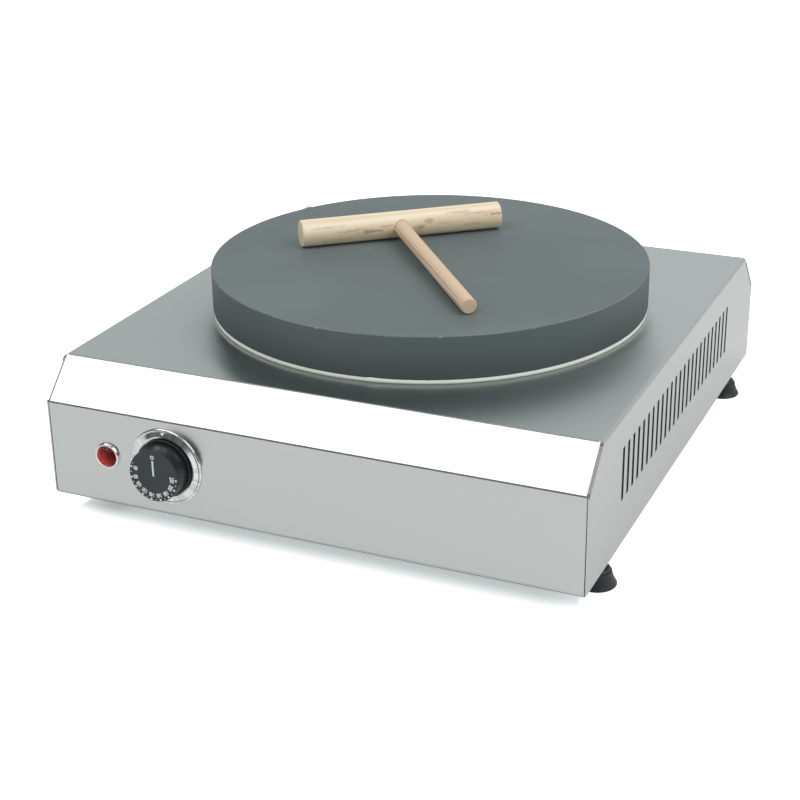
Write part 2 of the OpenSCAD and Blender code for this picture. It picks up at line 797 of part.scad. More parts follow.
// The moulded knob: a skirt, a slightly tapered grip with a flat face, and a hub with four ribs
module control_knob() {
    skirt_t = 3;
    taper = 0.4;
    face_r = knob_grip_d / 2;
    skirt_r = knob_skirt_d / 2;
    edge = 0.8;
    hub_back = 1.6;                          // the hub stops in front of the thermostat's neck
    cavity_r = face_r - knob_wall;
    cavity_h = knob_depth - knob_wall;
    rib_t = 1.6;
    rib_back = 7;                            // the ribs clear the fixing screws' heads
    profile = [
        [0, knob_back], [skirt_r, knob_back], [skirt_r, knob_back + skirt_t],
        [face_r - taper, knob_back + skirt_t], [face_r, knob_depth], [0, knob_depth]
    ];
    color([0.16, 0.17, 0.17])
    facing_front(thermostat_at)
    difference() {
        rotate_extrude() rounded_outline(profile, [0, edge / 2, edge, edge, edge, 0]);
        difference() {
            translate([0, 0, -1]) cylinder(h = cavity_h + 1, r = cavity_r);
            translate([0, 0, hub_back]) cylinder(h = knob_depth, r = knob_hub_r);
            for (a = [0, 90]) rotate([0, 0, a])
                translate([-cavity_r, -rib_t / 2, rib_back]) cube([2 * cavity_r, rib_t, knob_depth]);
        }
        spindle_form(fit, -1, knob_depth - knob_wall);
    }
}

// The chrome ring: a rounded lip, a face that rises towards the knob and a raised index at the top
module knob_bezel() {
    out_r = bezel_d / 2;
    in_r = knob_skirt_d / 2 + 0.9;
    ring_h = 2.2;
    dome_r = 14;
    dome_at = [in_r + 0.4, ring_h - dome_r];
    lip_r = 2;
    lip_at = [out_r - 1.9, -0.6];
    face_w = lip_at[0] - in_r + 0.25;
    index = [[-1.3, out_r - 2.6], [0, in_r + 0.9], [1.3, out_r - 2.6]];
    color([0.85, 0.86, 0.87])
    facing_front(thermostat_at) {
        rotate_extrude() {
            intersection() {
                translate([in_r, 0]) square([face_w, ring_h + 1]);
                translate(dome_at) circle(dome_r);
            }
            intersection() {
                translate([in_r + 1, 0]) square([out_r, ring_h]);
                translate(lip_at) circle(lip_r);
            }
        }
        translate([0, 0, 0.5]) linear_extrude(ring_h) polygon(index);
    }
}

// ---- Pilot lamp ----

lens_seat = 0.6;                             // web of the ring behind the lens
lamp_body_l = 26;
lamp_wall = 1;

module lamp_ring() {
    out_r = lamp_ring_d / 2;
    in_r = lamp_lens_d / 2 + fit;
    lip_h = 2.2;
    color([0.85, 0.86, 0.87])
    facing_front(lamp_at)
    rotate_extrude() polygon([
        [lamp_body_r + fit, 0], [out_r, 0], [out_r, 0.8], [out_r - 0.6, lip_h], [in_r, lip_h],
        [in_r, lens_seat], [lamp_body_r + fit, lens_seat]
    ]);
}

module lamp_lens() {
    out_r = lamp_lens_d / 2;
    top_r = out_r - 2.1;
    rim_h = 1.9;
    top_h = 4.3;
    dome_h = 0.7;
    dome_r = (top_r * top_r + dome_h * dome_h) / (2 * dome_h);
    spigot_l = 7;
    color([0.62, 0.08, 0.06])
    facing_front(lamp_at) {
        rotate_extrude() {
            polygon([[0, lens_seat], [out_r, lens_seat], [out_r, rim_h], [top_r, top_h], [0, top_h]]);
            intersection() {
                translate([0, top_h + dome_h - dome_r]) circle(dome_r);
                translate([0, top_h - 0.5]) square([top_r, dome_h + 1]);
            }
        }
        translate([0, 0, lens_seat - spigot_l])
            linear_extrude(spigot_l) difference() {
                circle(lamp_body_r - lamp_wall - fit);
                circle(lamp_body_r - lamp_wall - fit - 0.8);
            }
    }
}

module lamp_body() {
    tab = [4.8, 0.8, 8];
    color([0.18, 0.18, 0.19])
    facing_front(lamp_at) {
        difference() {
            translate([0, 0, -lamp_body_l]) cylinder(h = lamp_body_l + lens_seat - fit, r = lamp_body_r);
            translate([0, 0, -lamp_body_l + 2]) cylinder(h = lamp_body_l, r = lamp_body_r - lamp_wall);
        }
        for (s = [-1, 1]) translate([-tab[0] / 2, s * 3 - tab[1] / 2, -lamp_body_l - tab[2]]) cube(tab);
    }
}

module lamp_neon() {
    bulb_r = 2.6;
    bulb_len = 15;
    color([0.95, 0.75, 0.60, 0.6])
    facing_front(lamp_at) translate([0, 0, -lamp_body_l + 2]) {
        cylinder(h = bulb_len - bulb_r, r = bulb_r);
        translate([0, 0, bulb_len - bulb_r]) sphere(bulb_r);
    }
}

module lamp_nut() {
    nut_h = 3.5;
    color([0.18, 0.18, 0.19])
    facing_front(lamp_at) translate([0, 0, -sheet_t - nut_h]) nut(lamp_body_r, nut_h, 17);
}

// ---- Mains inlet ----

gland_hex_t = 5;
gland_wall_in = sheet_t + 9;
cap_wall = 1.2;
seal_r = gland_thread_r - 1.2;
cap_r = 10.5;

module cable_gland_body() {
    color([0.15, 0.15, 0.16])
    facing_back(gland_at)
    difference() {
        union() {
            cylinder(h = gland_hex_t, d = 22 / cos(30), $fn = 6);
            translate([0, 0, -gland_wall_in]) cylinder(h = gland_wall_in + gland_hex_t + 7, r = gland_thread_r);
        }
        translate([0, 0, -gland_wall_in - 1]) cylinder(h = 40, r = cable_d / 2 + 0.6);
        translate([0, 0, gland_hex_t - 1]) cylinder(h = 20, r = seal_r + fit);
    }
}

// The rubber sleeve that grips the cable
module cable_gland_seal() {
    color([0.22, 0.22, 0.22])
    facing_back(gland_at) translate([0, 0, gland_hex_t - 1])
        linear_extrude(gland_reach - gland_hex_t - 2) difference() { circle(seal_r); circle(cable_d / 2); }
}

module cable_gland_cap() {
    mouth_r = cable_d / 2 + 1;
    edge = 2.5;
    skirt_l = gland_reach - gland_hex_t;
    cap_profile = [
        [0, 0], [cap_r, 0], [cap_r, skirt_l], [0, skirt_l]
    ];
    color([0.15, 0.15, 0.16])
    facing_back(gland_at) translate([0, 0, gland_hex_t])
    difference() {
        rotate_extrude() rounded_outline(cap_profile, [0, 0, edge, 0]);
        translate([0, 0, -1]) cylinder(h = skirt_l - 2, r = gland_thread_r + fit);
        cylinder(h = 2 * skirt_l, r = mouth_r);
        for (a = [0 : 30 : 330]) rotate([0, 0, a]) translate([cap_r + 0.6, 0, -1])
            cylinder(h = skirt_l - edge, r = 1.1, $fn = 24);
    }
}

module cable_gland_locknut() {
    nut_h = 4;
    color([0.15, 0.15, 0.16])
    facing_back(gland_at) translate([0, 0, -sheet_t - nut_h]) nut(gland_thread_r, nut_h, 20);
}

// ---- Wiring ----

lead_r = 1.6;

// A bent wire or tube of radius r through a list of points. A run starts a little before its
// bend, inside the joint, so that two ends never share an edge.
module lead(points, r) {
    for (i = [0 : len(points) - 2]) {
        run = points[i + 1] - points[i];
        back = i > 0 ? r / 5 : 0;
        translate(points[i])
            rotate([0, acos(run[2] / norm(run)), atan2(run[1], run[0])])
                translate([0, 0, -back]) cylinder(h = norm(run) + back, r = r, $fn = 24);
        if (i > 0) translate(points[i]) sphere(r + joint_swell, $fn = 24);
    }
}

function pole_at(i) = [block_spot[0] + i * pole_pitch, block_spot[1] - block_size[1] / 2, ground_gap + 9];

module terminal_block() {
    hole_r = 2.4;
    color([0.88, 0.86, 0.80])
    difference() {
        translate([block_spot[0] - block_size[0] / 2, block_spot[1] - block_size[1] / 2, ground_gap])
            cube(block_size);
        for (i = [-1, 0, 1]) {
            translate(pole_at(i) - [0, 1, 0]) rotate([-90, 0, 0]) cylinder(h = block_size[1] + 2, r = hole_r);
            translate([block_spot[0] + i * pole_pitch, block_spot[1], ground_gap + 9])
                cylinder(h = block_size[2], r = m4 + fit);
        }
        for (s = [-1, 1]) translate([block_spot[0] + s * pole_pitch / 2, block_spot[1], ground_gap - 1])
            cylinder(h = 7, r = m3 + fit);
    }
}

module terminal_screws() {
    color([0.80, 0.66, 0.36])
    for (i = [-1, 0, 1]) translate([block_spot[0] + i * pole_pitch, block_spot[1], ground_gap + 12])
        cylinder(h = 5, r = m4);
}

module block_screws() {
    color([0.75, 0.75, 0.76])
    translate([0, 0, ground_gap - base_t])
        at_each([for (s = [-1, 1]) block_spot + [s * pole_pitch / 2, 0]]) screw(m3, base_t + 5, 2);
}

module earth_stud() {
    color([0.80, 0.66, 0.36])
    translate([earth_spot[0], earth_spot[1], ground_gap]) cylinder(h = 14, r = m5);
}

module earth_nut() {
    color([0.80, 0.66, 0.36])
    translate([earth_spot[0], earth_spot[1], ground_gap]) nut(m5, 4, 8);
}

harness_x = body_w / 2 - 15;                 // the leads run forward along the right side
harness_z = ground_gap + 56;
harness_front_y = front_y + 24;

// Live from the block to the thermostat, and earth from the block to the stud
module supply_leads() {
    tab = thermostat_at[2] - tab_z;
    color([0.90, 0.89, 0.84]) {
        lead([
            pole_at(1), pole_at(1) - [0, 12, 0],
            [harness_x, rear_y - flange_w - 60, harness_z],
            [harness_x, slot_y, harness_z + 2],
            [harness_x, harness_front_y + 20, harness_z],
            [harness_x - 20, harness_front_y, harness_z],
            [-knob_x + 50, harness_front_y + 16, tab],
            [-knob_x, body_back_y + tab_size[1] + 10, tab],
            [-knob_x, body_back_y + tab_size[1], tab]
        ], lead_r);
        lead([
            pole_at(-1), pole_at(-1) - [0, 10, 0],
            [earth_spot[0] + 20, earth_spot[1] - 14, ground_gap + 12],
            [earth_spot[0] + 5, earth_spot[1] - 8, ground_gap + 4 + lead_r]
        ], lead_r);
    }
}

function leg_at(loop_r, s) =
    let (a = loop_start + s * loop_gap / 2)
    [loop_r * cos(a) + s * element_bend_r * sin(a), griddle_y + loop_r * sin(a) - s * element_bend_r * cos(a),
        leg_end_z - bead_h - 12];

// Links between the cold ends of the two elements, the neutral feed from the block, and the live
// feed from the thermostat through the cut-out
module element_leads() {
    drop = [0, 0, 8];
    side_step = [0.3, 0, 1];                 // keeps a feed's axis off the link that it joins
    tab = thermostat_at[2] + tab_z;
    cut_z = cutout_at[2] - cutout_h - cutout_tab[2];
    color([0.90, 0.89, 0.84]) {
        for (s = [-1, 1])
            lead([
                leg_at(outer_loop_r, s), leg_at(outer_loop_r, s) - drop,
                leg_at(inner_loop_r, s) - drop, leg_at(inner_loop_r, s)
            ], lead_r);
        lead([
            leg_at(inner_loop_r, 1) - drop + side_step,
            [inner_loop_r, 0, ground_gap + 20],
            [pole_at(0)[0], pole_at(0)[1] - 14, pole_at(0)[2]],
            pole_at(0)
        ], lead_r);
        lead([
            leg_at(inner_loop_r, -1) - drop - side_step,
            [-30, 0, cut_z - 20],
            [0, cutout_at[1] - cutout_tab_y, cut_z - 12],
            [0, cutout_at[1] - cutout_tab_y, cut_z]
        ], lead_r);
        lead([
            [-knob_x, body_back_y + tab_size[1], tab],
            [-knob_x, body_back_y + tab_size[1] + 12, tab],
            [-knob_x + 40, front_y / 2, tab - 14],
            [-40, cutout_at[1] + 10, cut_z - 16],
            [0, cutout_at[1] + cutout_tab_y, cut_z - 12],
            [0, cutout_at[1] + cutout_tab_y, cut_z]
        ], lead_r);
    }
}

module lamp_leads() {
    thin_r = 0.9;
    back_y = front_y + lamp_body_l + 8;
    color([0.90, 0.89, 0.84])
    for (s = [-1, 1])
        lead([
            [lamp_at[0], back_y, lamp_at[2] + s * 3],
            [lamp_at[0], back_y + 5, lamp_at[2] + s * 3],
            [lamp_at[0] + 20, back_y + 14, thermostat_at[2] + s * (tab_z + 5)],
            [-knob_x, back_y + 10, thermostat_at[2] + s * (tab_z + 5)],
            [-knob_x, body_back_y + 5, thermostat_at[2] + s * (tab_z + tab_size[2] / 2 + thin_r)]
        ], thin_r);
}

// ---- Spreader ----

// The spreader lies on the plate: the bar on its side, the handle's free end touching down
module spreader_place() {
    bar_r = bar_d / 2;
    tilt = asin((bar_r - handle_d / 2) / (handle_l + bar_r));
    translate([-bar_x, griddle_y + bar_y, griddle_top_z + seat + bar_r])
        rotate([0, 0, bar_turn]) rotate([tilt, 0, 0]) children();
}

hole_depth = bar_d * 0.6;

// A turned stick of length l along +Z with eased ends
module stick(d, l) {
    ease = 0.8;
    rotate_extrude() polygon([
        [0, 0], [d / 2 - ease, 0], [d / 2, ease], [d / 2, l - ease], [d / 2 - ease, l], [0, l]
    ]);
}

module spreader_bar() {
    color([0.86, 0.79, 0.66])
    spreader_place() difference() {
        translate([-bar_l / 2, 0, 0]) rotate([0, 90, 0]) stick(bar_d, bar_l);
        translate([-handle_aside, hole_depth - bar_d / 2, 0])
            rotate([90, 0, 0]) cylinder(h = bar_d, r = handle_d / 2 + fit);
    }
}

module spreader_handle() {
    color([0.85, 0.74, 0.62])
    spreader_place()
        translate([-handle_aside, hole_depth - bar_d / 2 - fit, 0]) rotate([90, 0, 0])
            stick(handle_d, handle_l + hole_depth - fit);
}

body_shell();
base_plate();
base_screws();
foot_front_left();
foot_front_right();
foot_rear_left();
foot_rear_right();
foot_screws();
foot_nuts();
griddle_plate();
rim_gasket();
anchor_studs();
anchor_spacers();
anchor_washers();
anchor_nuts();
outer_element();
inner_element();
element_terminals();
clamp_plate();
clamp_studs();
clamp_nuts();
insulation_disc();
heat_shield_pan();
sensor_bulb();
sensor_clip();
sensor_clip_screw();
safety_cutout();
thermostat_body();
thermostat_terminals();
thermostat_screws();
thermostat_spindle();
control_knob();
knob_bezel();
lamp_ring();
lamp_lens();
lamp_body();
lamp_neon();
lamp_nut();
cable_gland_body();
cable_gland_seal();
cable_gland_cap();
cable_gland_locknut();
terminal_block();
terminal_screws();
block_screws();
earth_stud();
earth_nut();
supply_leads();
element_leads();
lamp_leads();
spreader_bar();
spreader_handle();
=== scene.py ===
import math

import bpy
from mathutils import Matrix, Vector


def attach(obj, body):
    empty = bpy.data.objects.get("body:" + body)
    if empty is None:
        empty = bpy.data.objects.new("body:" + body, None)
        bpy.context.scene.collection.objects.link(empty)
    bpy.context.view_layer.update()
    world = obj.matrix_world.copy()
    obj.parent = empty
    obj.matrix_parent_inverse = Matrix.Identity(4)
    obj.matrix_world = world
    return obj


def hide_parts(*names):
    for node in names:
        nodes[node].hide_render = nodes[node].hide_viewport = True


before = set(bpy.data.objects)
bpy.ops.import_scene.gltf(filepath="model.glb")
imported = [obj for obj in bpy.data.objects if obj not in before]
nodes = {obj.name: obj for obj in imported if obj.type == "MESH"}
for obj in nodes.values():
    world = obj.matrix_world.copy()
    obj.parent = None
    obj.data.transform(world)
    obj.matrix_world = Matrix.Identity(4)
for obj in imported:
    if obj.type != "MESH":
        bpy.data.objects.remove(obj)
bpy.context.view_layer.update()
bpy.ops.object.select_all(action="DESELECT")
print("frame loaded:", len(nodes), "nodes")


# camera

camera = {
    "place": (0.49964, -1.18245, 0.60477),
    "back": (0.37317, -0.83754, 0.39908),  # from the object towards the lens
    "roll": -0.8309,
    "lens": 75.81,
    "sensor": 36.0,
    "range": (0.05, 60),
}


def addCamera():
    back = Vector(camera["back"]).normalized()
    side = Vector((0, 0, 1)).cross(back).normalized()
    up = back.cross(side)
    roll = math.radians(camera["roll"])
    right = side * math.cos(roll) + up * math.sin(roll)
    top = up * math.cos(roll) - side * math.sin(roll)
    data = bpy.data.cameras.new("studio_camera")
    data.lens = camera["lens"]
    data.sensor_width = camera["sensor"]
    data.clip_start, data.clip_end = camera["range"]
    holder = bpy.data.objects.new("studio_camera", data)
    turn = Matrix((right, top, back)).transposed().to_4x4()
    holder.matrix_world = Matrix.Translation(camera["place"]) @ turn
    bpy.context.scene.collection.objects.link(holder)
    bpy.context.scene.camera = holder


addCamera()
print("camera placed")


# small helpers for node trees

def setSocket(tree, socket, value):
    if isinstance(value, bpy.types.NodeSocket):
        tree.links.new(value, socket)
    else:
        socket.default_value = value


def addNode(tree, kind, inputs, **settings):
    node = tree.nodes.new(kind)
    for key, value in settings.items():
        setattr(node, key, value)
    for key, value in inputs.items():
        setSocket(tree, node.inputs[key], value)
    return node


def calc(tree, operation, first, second=0.0):
    return addNode(tree, "ShaderNodeMath", {0: first, 1: second}, operation=operation).outputs[0]


def times(tree, first, *others):
    for other in others:
        first = calc(tree, "MULTIPLY", first, other)
    return first


def calcVector(tree, operation, first, second=(0, 0, 0)):
    node = addNode(tree, "ShaderNodeVectorMath", {0: first, 1: second}, operation=operation)
    return node.outputs["Value" if operation in ("DOT_PRODUCT", "LENGTH", "DISTANCE") else "Vector"]


def splitVector(tree, vector):
    return addNode(tree, "ShaderNodeSeparateXYZ", {0: vector}).outputs


def remap(tree, value, low, high, start=0.0, end=1.0):
    node = addNode(tree, "ShaderNodeMapRange",
                   {"Value": value, "From Min": low, "From Max": high, "To Min": start, "To Max": end})
    node.interpolation_type = "SMOOTHSTEP"
    return node.outputs["Result"]


def noise(tree, vector, scale, detail=3.0, roughness=0.5):
    node = addNode(tree, "ShaderNodeTexNoise",
                   {"Vector": vector, "Scale": scale, "Detail": detail, "Roughness": roughness})
    return node.outputs["Fac"]


def stretch(tree, vector, scale, turn=0.0):
    node = addNode(tree, "ShaderNodeMapping", {"Vector": vector, "Scale": scale, "Rotation": (0, 0, turn)})
    return node.outputs["Vector"]


def mixValues(tree, amount, first, second):
    return addNode(tree, "ShaderNodeMix", {0: amount, 2: first, 3: second}, data_type="FLOAT").outputs[0]


def mixVectors(tree, amount, first, second):
    return addNode(tree, "ShaderNodeMix", {0: amount, 4: first, 5: second}, data_type="VECTOR").outputs[1]


def blendColours(tree, amount, first, second):
    node = addNode(tree, "ShaderNodeMix", {0: amount}, data_type="RGBA")
    for key, value in ((6, first), (7, second)):
        setSocket(tree, node.inputs[key], (*value, 1) if isinstance(value, tuple) else value)
    return node.outputs[2]


def newGroup(name, inputs, outputs):
    tree = bpy.data.node_groups.new(name, "ShaderNodeTree")
    for label, kind, value in inputs:
        socket = tree.interface.new_socket(label, in_out="INPUT", socket_type=kind)
        if value is not None:
            socket.default_value = value
    for label, kind in outputs:
        tree.interface.new_socket(label, in_out="OUTPUT", socket_type=kind)
    start = tree.nodes.new("NodeGroupInput")
    end = tree.nodes.new("NodeGroupOutput")
    return tree, start.outputs, end.inputs


def useGroup(tree, group, inputs):
    node = tree.nodes.new("ShaderNodeGroup")
    node.node_tree = group
    for key, value in inputs.items():
        setSocket(tree, node.inputs[key], value)
    return node.outputs


def newMaterial(name, finish):
    material = bpy.data.materials.new(name)
    material.use_nodes = True
    tree = material.node_tree
    shader = tree.nodes["Principled BSDF"]
    for socket, value in finish.items():
        shader.inputs[socket].default_value = value
    place = tree.nodes.new("ShaderNodeTexCoord").outputs["Object"]
    return material, tree, shader, place


def addBump(tree, shader, height, strength, distance):
    bump = addNode(tree, "ShaderNodeBump", {"Height": height, "Strength": strength, "Distance": distance})
    tree.links.new(bump.outputs["Normal"], shader.inputs["Normal"])


def dress(material, *names):
    for name in names:
        slots = nodes[name].data.materials
        slots.clear()
        slots.append(material)


# effects built once as node groups

noiseSpan = (0.3, 0.7)  # most of a noise's values lie between these
grainDepth = 0.0002

woodPattern = {
    "lines": ((0.045, 1, 1), 60.0),  # how far each noise is drawn out along X, and how fine it is
    "marks": ((0.16, 1, 1), 130.0),
    "spots": ((0.5, 1, 1), 26.0),
    "pores": ((0.06, 1, 1), 1500.0),
    "fleckFrom": 0.78,
    "fleckGain": 0.2,
    "fleckEdge": 0.1,
}


def makeBrushing():
    tree, given, out = newGroup(
        "brushing", [("Vector", "NodeSocketVector", None)], [("Streak", "NodeSocketFloat")])
    tree.links.new(noise(tree, given["Vector"], 1.0, detail=4.0, roughness=0.65), out["Streak"])
    return tree


def makeGrain():
    tree, given, out = newGroup(
        "fine_grain",
        [("Vector", "NodeSocketVector", None), ("Scale", "NodeSocketFloat", 900.0)],
        [("Height", "NodeSocketFloat"), ("Tone", "NodeSocketFloat")])
    tree.links.new(noise(tree, given["Vector"], given["Scale"], detail=2.0, roughness=0.6), out["Height"])
    tree.links.new(noise(tree, given["Vector"], 14.0), out["Tone"])
    return tree


def makeWood():
    tree, given, out = newGroup(
        "wood_grain",
        [("Vector", "NodeSocketVector", None), ("Rings", "NodeSocketFloat", 260.0),
         ("Flecks", "NodeSocketFloat", 0.5), ("Wander", "NodeSocketFloat", 0.012)],
        [("Line", "NodeSocketFloat"), ("Fleck", "NodeSocketFloat"), ("Pore", "NodeSocketFloat")])
    drawn, fineness = woodPattern["lines"]
    along = stretch(tree, given["Vector"], drawn)
    wobble = noise(tree, along, fineness, roughness=0.6)
    bent = calc(tree, "ADD", splitVector(tree, along)["Y"], times(tree, wobble, given["Wander"]))
    wave = calc(tree, "SINE", times(tree, bent, given["Rings"]))
    marks, spots, pores = (
        noise(tree, stretch(tree, given["Vector"], drawn), fineness, detail=2.0)
        for drawn, fineness in (woodPattern[layer] for layer in ("marks", "spots", "pores")))
    fleckFrom = calc(tree, "SUBTRACT", woodPattern["fleckFrom"],
                     times(tree, given["Flecks"], woodPattern["fleckGain"]))
    fleck = remap(tree, times(tree, calc(tree, "ADD", marks, spots), 0.5), fleckFrom,
                  calc(tree, "ADD", fleckFrom, woodPattern["fleckEdge"]))
    tree.links.new(remap(tree, wave, -1.0, 1.0), out["Line"])
    tree.links.new(fleck, out["Fleck"])
    tree.links.new(pores, out["Pore"])
    return tree


brushing = makeBrushing()
fineGrain = makeGrain()
woodGrain = makeWood()
print("shared effects ready")


# the housing of brushed sheet steel

steel = {
    "tone": (0.568, 0.592, 0.578),
    "light": (0.608, 0.632, 0.618),
    # a lighter, greener tone on faces turned up: a painted reflection of the room above
    "deckReflectionTint": (0.588, 0.658, 0.650),
    "roughness": (0.150, 0.185),
    "deckRoughness": (0.31, 0.355),
    "streaks": (0.36, 0.64),  # the part of the brushing that shows
    "lines": (14, 3400),  # how fine the brushing is along its lines and across them
    "lineHeight": 0.012,
    "stretchedGloss": 0.90,  # the brushing smears reflections across its lines
    "facingUp": (0.85, 0.98),
    "facingAside": (0.8, 0.9),
    "half": (0.212, 0.234),  # half the housing's width and depth
    "top": 0.133,
    "frontSlope": ((0, 0.7071, -0.7071), 0.23971),  # depth under the slope, as a plane
    "rearSlope": ((0, -0.7270, -0.6866), 0.23672),
    "skin": (0.0007, 0.0010),  # below this depth the sheet's inner side begins
    # the inner side's dark colour is painted shade
    "inside": (0.26, 0.28, 0.28),
    "weldWidth": (0.0028, 0.0024),
    "weldDepth": (0.0012, 0.0008),
    "weldTurn": (0.995, 0.97),  # the weld ends where the sheet faces straight aside
    "weldLumps": (420.0, 0.6),
    "weld": (0.37, 0.38, 0.345),
    "slopeEnds": (0.1055, 0.1316),
    "burnt": (0.0012, 0.0004, 0.0, 0.7),
    "burn": (0.12, 0.115, 0.085),
    "seamAt": 0.21050,
    "seamWidth": (0.00045, 0.000315),
    "seamDepth": (0.0012, 0.0006),
    "seamShade": (0.133, 0.03, 0.2, 0.9),  # it is darker towards its foot
    "dull": (0.15, 0.62),  # how metallic and how rough the weld and the inner side are
    "plateAt": (0, 0.002, 0),
    "plateShadeEnd": (0.189, 0.1775, 0.0, 0.45),  # the painted shade ring on the deck, by distance
    "plateShadeStart": (0.1755, 0.1785),
    "plateShadeWay": (0.39, -0.92, 0),  # it is strongest in front of the plate
    "plateShadeSides": (0.15, 0.65),
    "plateShade": (0.04, 0.05, 0.045),
    "dimple": (-0.188, 0.123, 0.0011),
    "dimpleFloor": 0.3,  # share of the dimple's radius
    "bump": (0.5, 0.0001),
}


def measureHousing(tree, place):
    # how deep a point lies under each of the housing's outer faces
    parts = splitVector(tree, place)
    across = calc(tree, "ABSOLUTE", parts["X"])
    halfWidth, halfDepth = steel["half"]
    slopes = [calc(tree, "ADD", calcVector(tree, "DOT_PRODUCT", place, way), start)
              for way, start in (steel["frontSlope"], steel["rearSlope"])]
    return {
        "across": across,
        "height": parts["Z"],
        "side": calc(tree, "SUBTRACT", halfWidth, across),
        "end": calc(tree, "SUBTRACT", halfDepth, calc(tree, "ABSOLUTE", parts["Y"])),
        "deck": calc(tree, "SUBTRACT", steel["top"], parts["Z"]),
        "slope": calc(tree, "MINIMUM", *slopes),
    }


def brushHousing(tree, shader, place):
    # the brushing runs front to back on the deck and the sides, and across the other faces
    normal = tree.nodes.new("ShaderNodeNewGeometry").outputs["Normal"]
    facing = splitVector(tree, normal)
    aside = calc(tree, "ABSOLUTE", facing["X"])
    lengthwise = remap(tree, calc(tree, "MAXIMUM", aside, facing["Z"]), *steel["facingAside"])
    lines = mixVectors(tree, lengthwise, (1, 0, 0), (0, 1, 0))
    tree.links.new(calcVector(tree, "CROSS_PRODUCT", normal, lines), shader.inputs["Tangent"])
    along, fine = steel["lines"]
    drawn = mixVectors(tree, lengthwise, stretch(tree, place, (along, fine, fine)),
                       stretch(tree, place, (fine, along, fine)))
    streak = useGroup(tree, brushing, {"Vector": drawn})["Streak"]
    return streak, aside, remap(tree, facing["Z"], *steel["facingUp"])


def markWelds(tree, aside, under):
    # a dressed weld joins a slope to a side, burnt at its two ends, and the open seam below it is dark
    weld = times(tree, remap(tree, under["side"], *steel["weldWidth"]),
                 remap(tree, aside, *steel["weldTurn"]), remap(tree, under["slope"], *steel["weldDepth"]))
    fromLow, fromHigh = (calc(tree, "ABSOLUTE", calc(tree, "SUBTRACT", under["height"], end))
                         for end in steel["slopeEnds"])
    burnt = times(tree, weld, remap(tree, calc(tree, "MINIMUM", fromLow, fromHigh), *steel["burnt"]))
    off = calc(tree, "ABSOLUTE", calc(tree, "SUBTRACT", under["across"], steel["seamAt"]))
    seam = times(tree, remap(tree, off, *steel["seamWidth"]),
                 remap(tree, under["end"], *steel["seamDepth"]),
                 remap(tree, under["height"], *steel["seamShade"]))
    return weld, calc(tree, "MAXIMUM", burnt, seam)


def paintPlateShade(tree, place, onDeck):
    # a painted shade ring on the deck beside the gasket
    spot = calcVector(tree, "MULTIPLY", calcVector(tree, "SUBTRACT", place, steel["plateAt"]), (1, 1, 0))
    out = calcVector(tree, "LENGTH", spot)
    ahead = calcVector(tree, "DOT_PRODUCT", calcVector(tree, "NORMALIZE", spot), steel["plateShadeWay"])
    return times(tree, onDeck, remap(tree, out, *steel["plateShadeEnd"]), remap(tree, out, *steel["plateShadeStart"]),
                 remap(tree, ahead, *steel["plateShadeSides"]))


def pressDimple(tree, place):
    # a small pressed dimple beside the first vent slots
    y, z, radius = steel["dimple"]
    spot = calcVector(tree, "MULTIPLY", calcVector(tree, "SUBTRACT", place, (0, y, z)), (0, 1, 1))
    return remap(tree, calcVector(tree, "LENGTH", spot), radius * steel["dimpleFloor"], radius)


def makeHousingSteel():
    material, tree, shader, place = newMaterial(
        "housing_steel", {"Metallic": 1.0, "Roughness": 0.24, "Anisotropic": steel["stretchedGloss"]})
    streak, aside, onDeck = brushHousing(tree, shader, place)
    under = measureHousing(tree, place)
    weld, burnt = markWelds(tree, aside, under)
    # behind the sheet's outer skin the metal is dull, and its darker colour there is painted shade
    least = calc(tree, "MINIMUM", calc(tree, "MINIMUM", under["side"], under["end"]),
                 calc(tree, "MINIMUM", under["deck"], under["slope"]))
    inside = remap(tree, least, *steel["skin"])
    tone = blendColours(tree, streak, steel["tone"], steel["light"])
    # faces turned up take the deck tint, a painted reflection of the room above
    for amount, colour in ((onDeck, "deckReflectionTint"), (paintPlateShade(tree, place, onDeck), "plateShade"),
                           (weld, "weld"), (burnt, "burn"), (inside, "inside")):
        tone = blendColours(tree, amount, tone, steel[colour])
    tree.links.new(tone, shader.inputs["Base Color"])
    dull = calc(tree, "MAXIMUM", calc(tree, "MAXIMUM", inside, weld), burnt)
    dullMetal, dullRoughness = steel["dull"]
    tree.links.new(mixValues(tree, dull, 1.0, dullMetal), shader.inputs["Metallic"])
    brushed = mixValues(tree, onDeck, remap(tree, streak, *steel["streaks"], *steel["roughness"]),
                        remap(tree, streak, *steel["streaks"], *steel["deckRoughness"]))
    tree.links.new(mixValues(tree, dull, brushed, dullRoughness), shader.inputs["Roughness"])
    fineness, strength = steel["weldLumps"]
    lumps = times(tree, noise(tree, place, fineness, detail=2.0), weld, strength)
    height = calc(tree, "ADD", times(tree, streak, steel["lineHeight"]), lumps)
    addBump(tree, shader, calc(tree, "ADD", height, pressDimple(tree, place)), *steel["bump"])
    return material


dress(makeHousingSteel(), "body_shell")
print("housing brushed")


# plain metals, rubber, plastic, ceramic and fabric

plainMetal = {"metallic": 1.0, "grain": 700.0, "relief": 0.05, "shade": 0.82, "spread": (-0.06, 0.08)}
moulded = {"metallic": 0.0, "grain": 1400.0, "relief": 0.10, "shade": 0.8, "spread": (-0.05, 0.06)}

